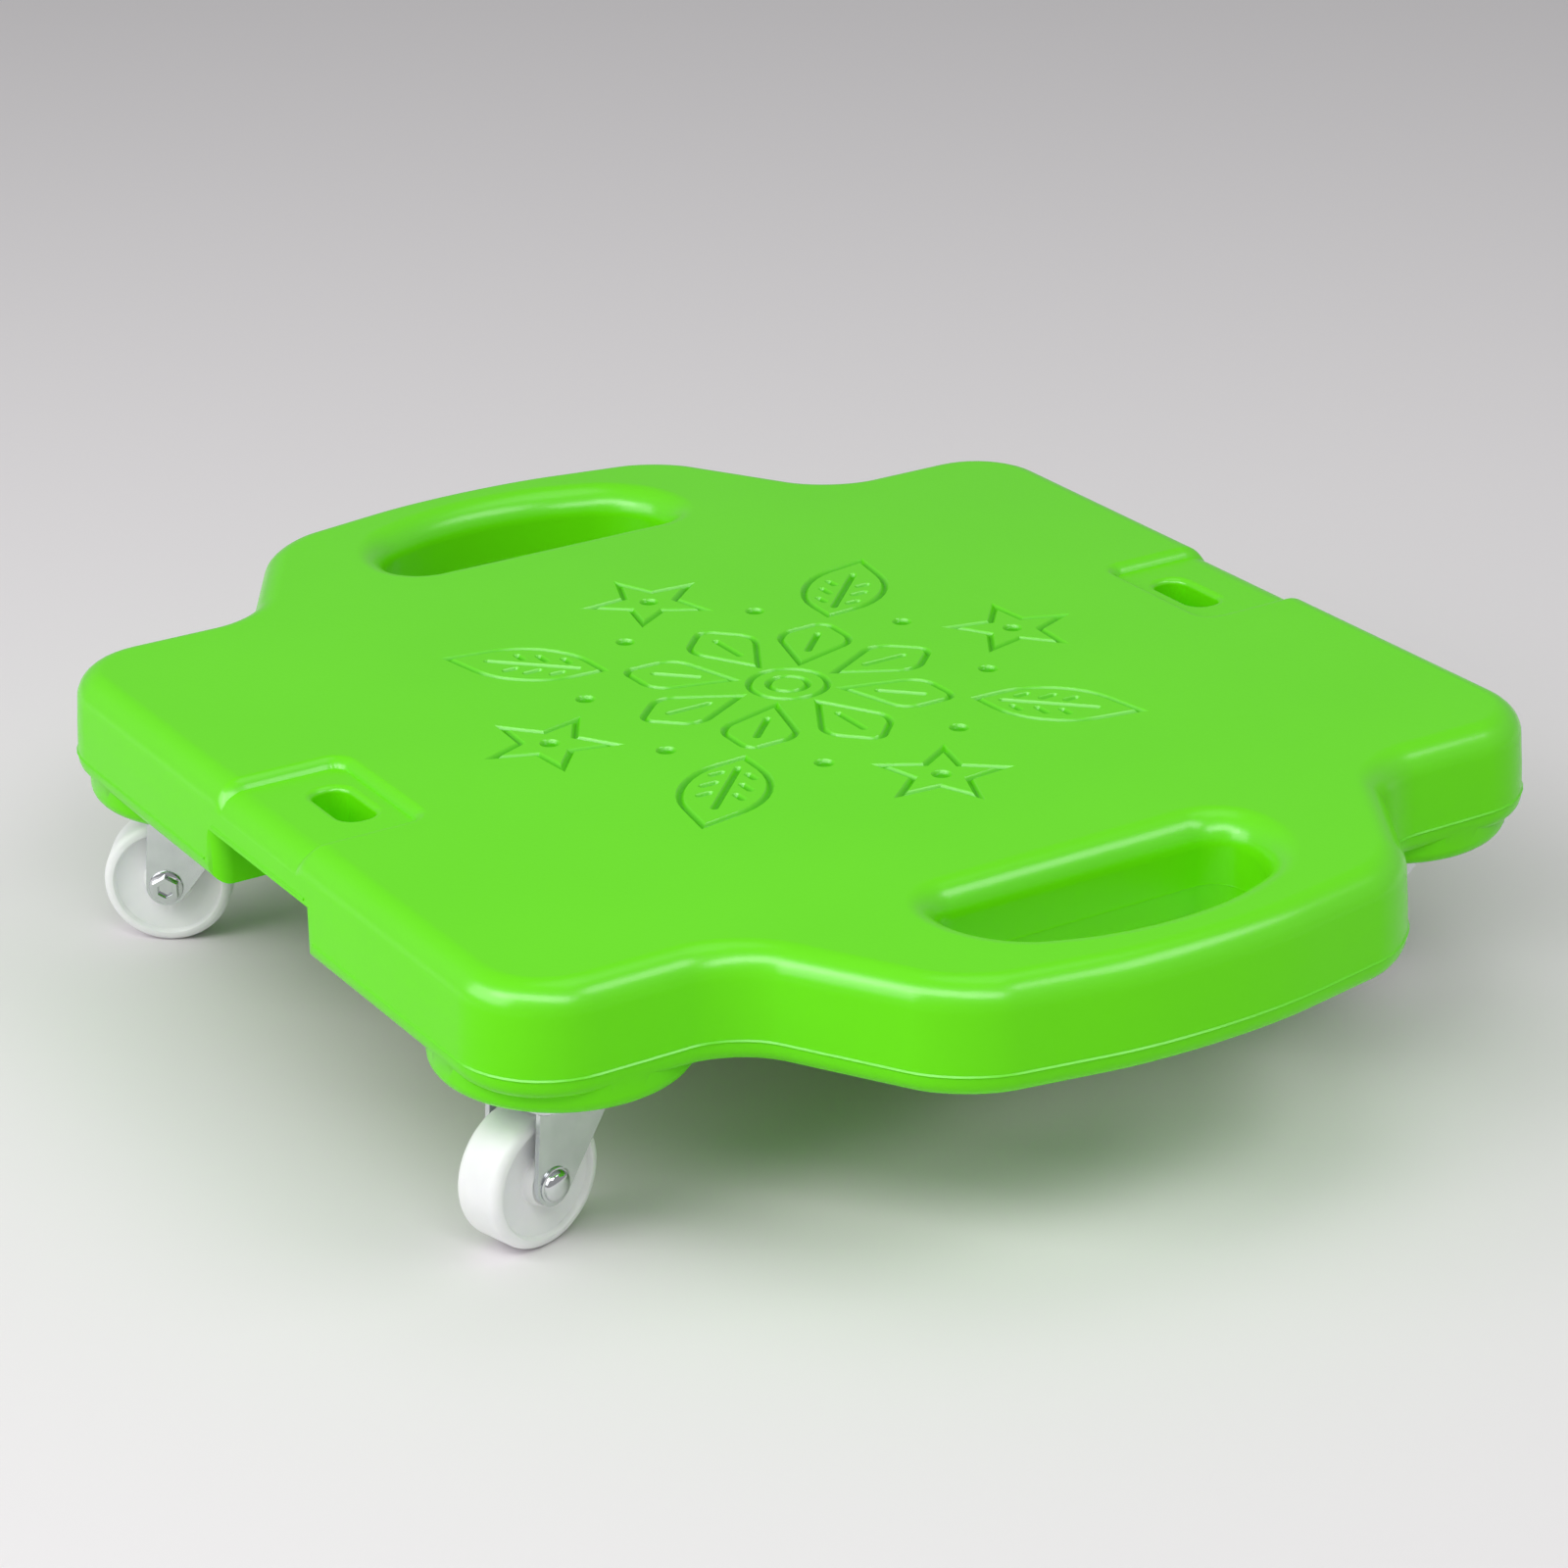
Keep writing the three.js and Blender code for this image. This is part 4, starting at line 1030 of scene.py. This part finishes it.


# Studio. A pale paper floor with a painted shadow under the board, darker and pinkish against the
# green light that the board throws on it, a wide soft lamp in front, three weaker ones and a pale
# sky.
floor_reach = 6
lamp_aim = Vector((0, 0, 0.05))
floor_mesh = bmesh.new()
bmesh.ops.create_grid(floor_mesh, x_segments=8, y_segments=8, size=floor_reach)
studio_floor = new_piece("studio_floor", floor_mesh)
paper = bpy.data.materials.new("pale_paper")
paper.use_nodes = True
nodes, links = paper.node_tree.nodes, paper.node_tree.links
place = nodes.new("ShaderNodeTexCoord")
reach = nodes.new("ShaderNodeVectorMath")
reach.operation = "LENGTH"
near = nodes.new("ShaderNodeMapRange")
near.interpolation_type = "SMOOTHSTEP"
near.inputs["From Min"].default_value = 0.06
near.inputs["From Max"].default_value = 0.23
# Painted shadow: near the board the floor colour turns darker and pinkish.
painted_floor_shadow = nodes.new("ShaderNodeMix")
painted_floor_shadow.data_type = "RGBA"
painted_floor_shadow.inputs["A"].default_value = (0.68, 0.49, 0.65, 1)
painted_floor_shadow.inputs["B"].default_value = (0.805, 0.785, 0.795, 1)
links.new(place.outputs["Object"], reach.inputs[0])
links.new(reach.outputs["Value"], near.inputs["Value"])
links.new(near.outputs["Result"], painted_floor_shadow.inputs["Factor"])
links.new(painted_floor_shadow.outputs["Result"], nodes["Principled BSDF"].inputs["Base Color"])
nodes["Principled BSDF"].inputs["Roughness"].default_value = 0.9
nodes["Principled BSDF"].inputs["Specular IOR Level"].default_value = 0.1
studio_floor.data.materials.append(paper)


def soft_lamp(name, place, width, height, power):
    """A rectangular area lamp that faces the board."""
    lamp = bpy.data.lights.new(name, "AREA")
    lamp.shape = "RECTANGLE"
    lamp.size, lamp.size_y = width, height
    lamp.energy = power
    holder = bpy.data.objects.new(name, lamp)
    bpy.context.scene.collection.objects.link(holder)
    holder.matrix_world = (Vector(place) - lamp_aim).to_track_quat("Z", "Y").to_matrix().to_4x4()
    holder.location = place


soft_lamp("front_lamp", (0.633, -0.810, 1.276), 2.4, 0.5, 13.5)
soft_lamp("right_lamp", (0.764, 0.688, 1.276), 0.9, 0.45, 3.5)
soft_lamp("overhead_lamp", (-0.207, 0.359, 1.595), 0.8, 0.8, 2)
soft_lamp("left_lamp", (-0.276, -1.565, 0.895), 1.6, 1.0, 11)

sky = bpy.data.worlds.new("studio_sky")
sky.use_nodes = True
sky.node_tree.nodes["Background"].inputs["Color"].default_value = (0.92, 0.92, 0.93, 1)
sky.node_tree.nodes["Background"].inputs["Strength"].default_value = 0.38
bpy.context.scene.world = sky
bpy.context.scene.view_settings.view_transform = "Standard"
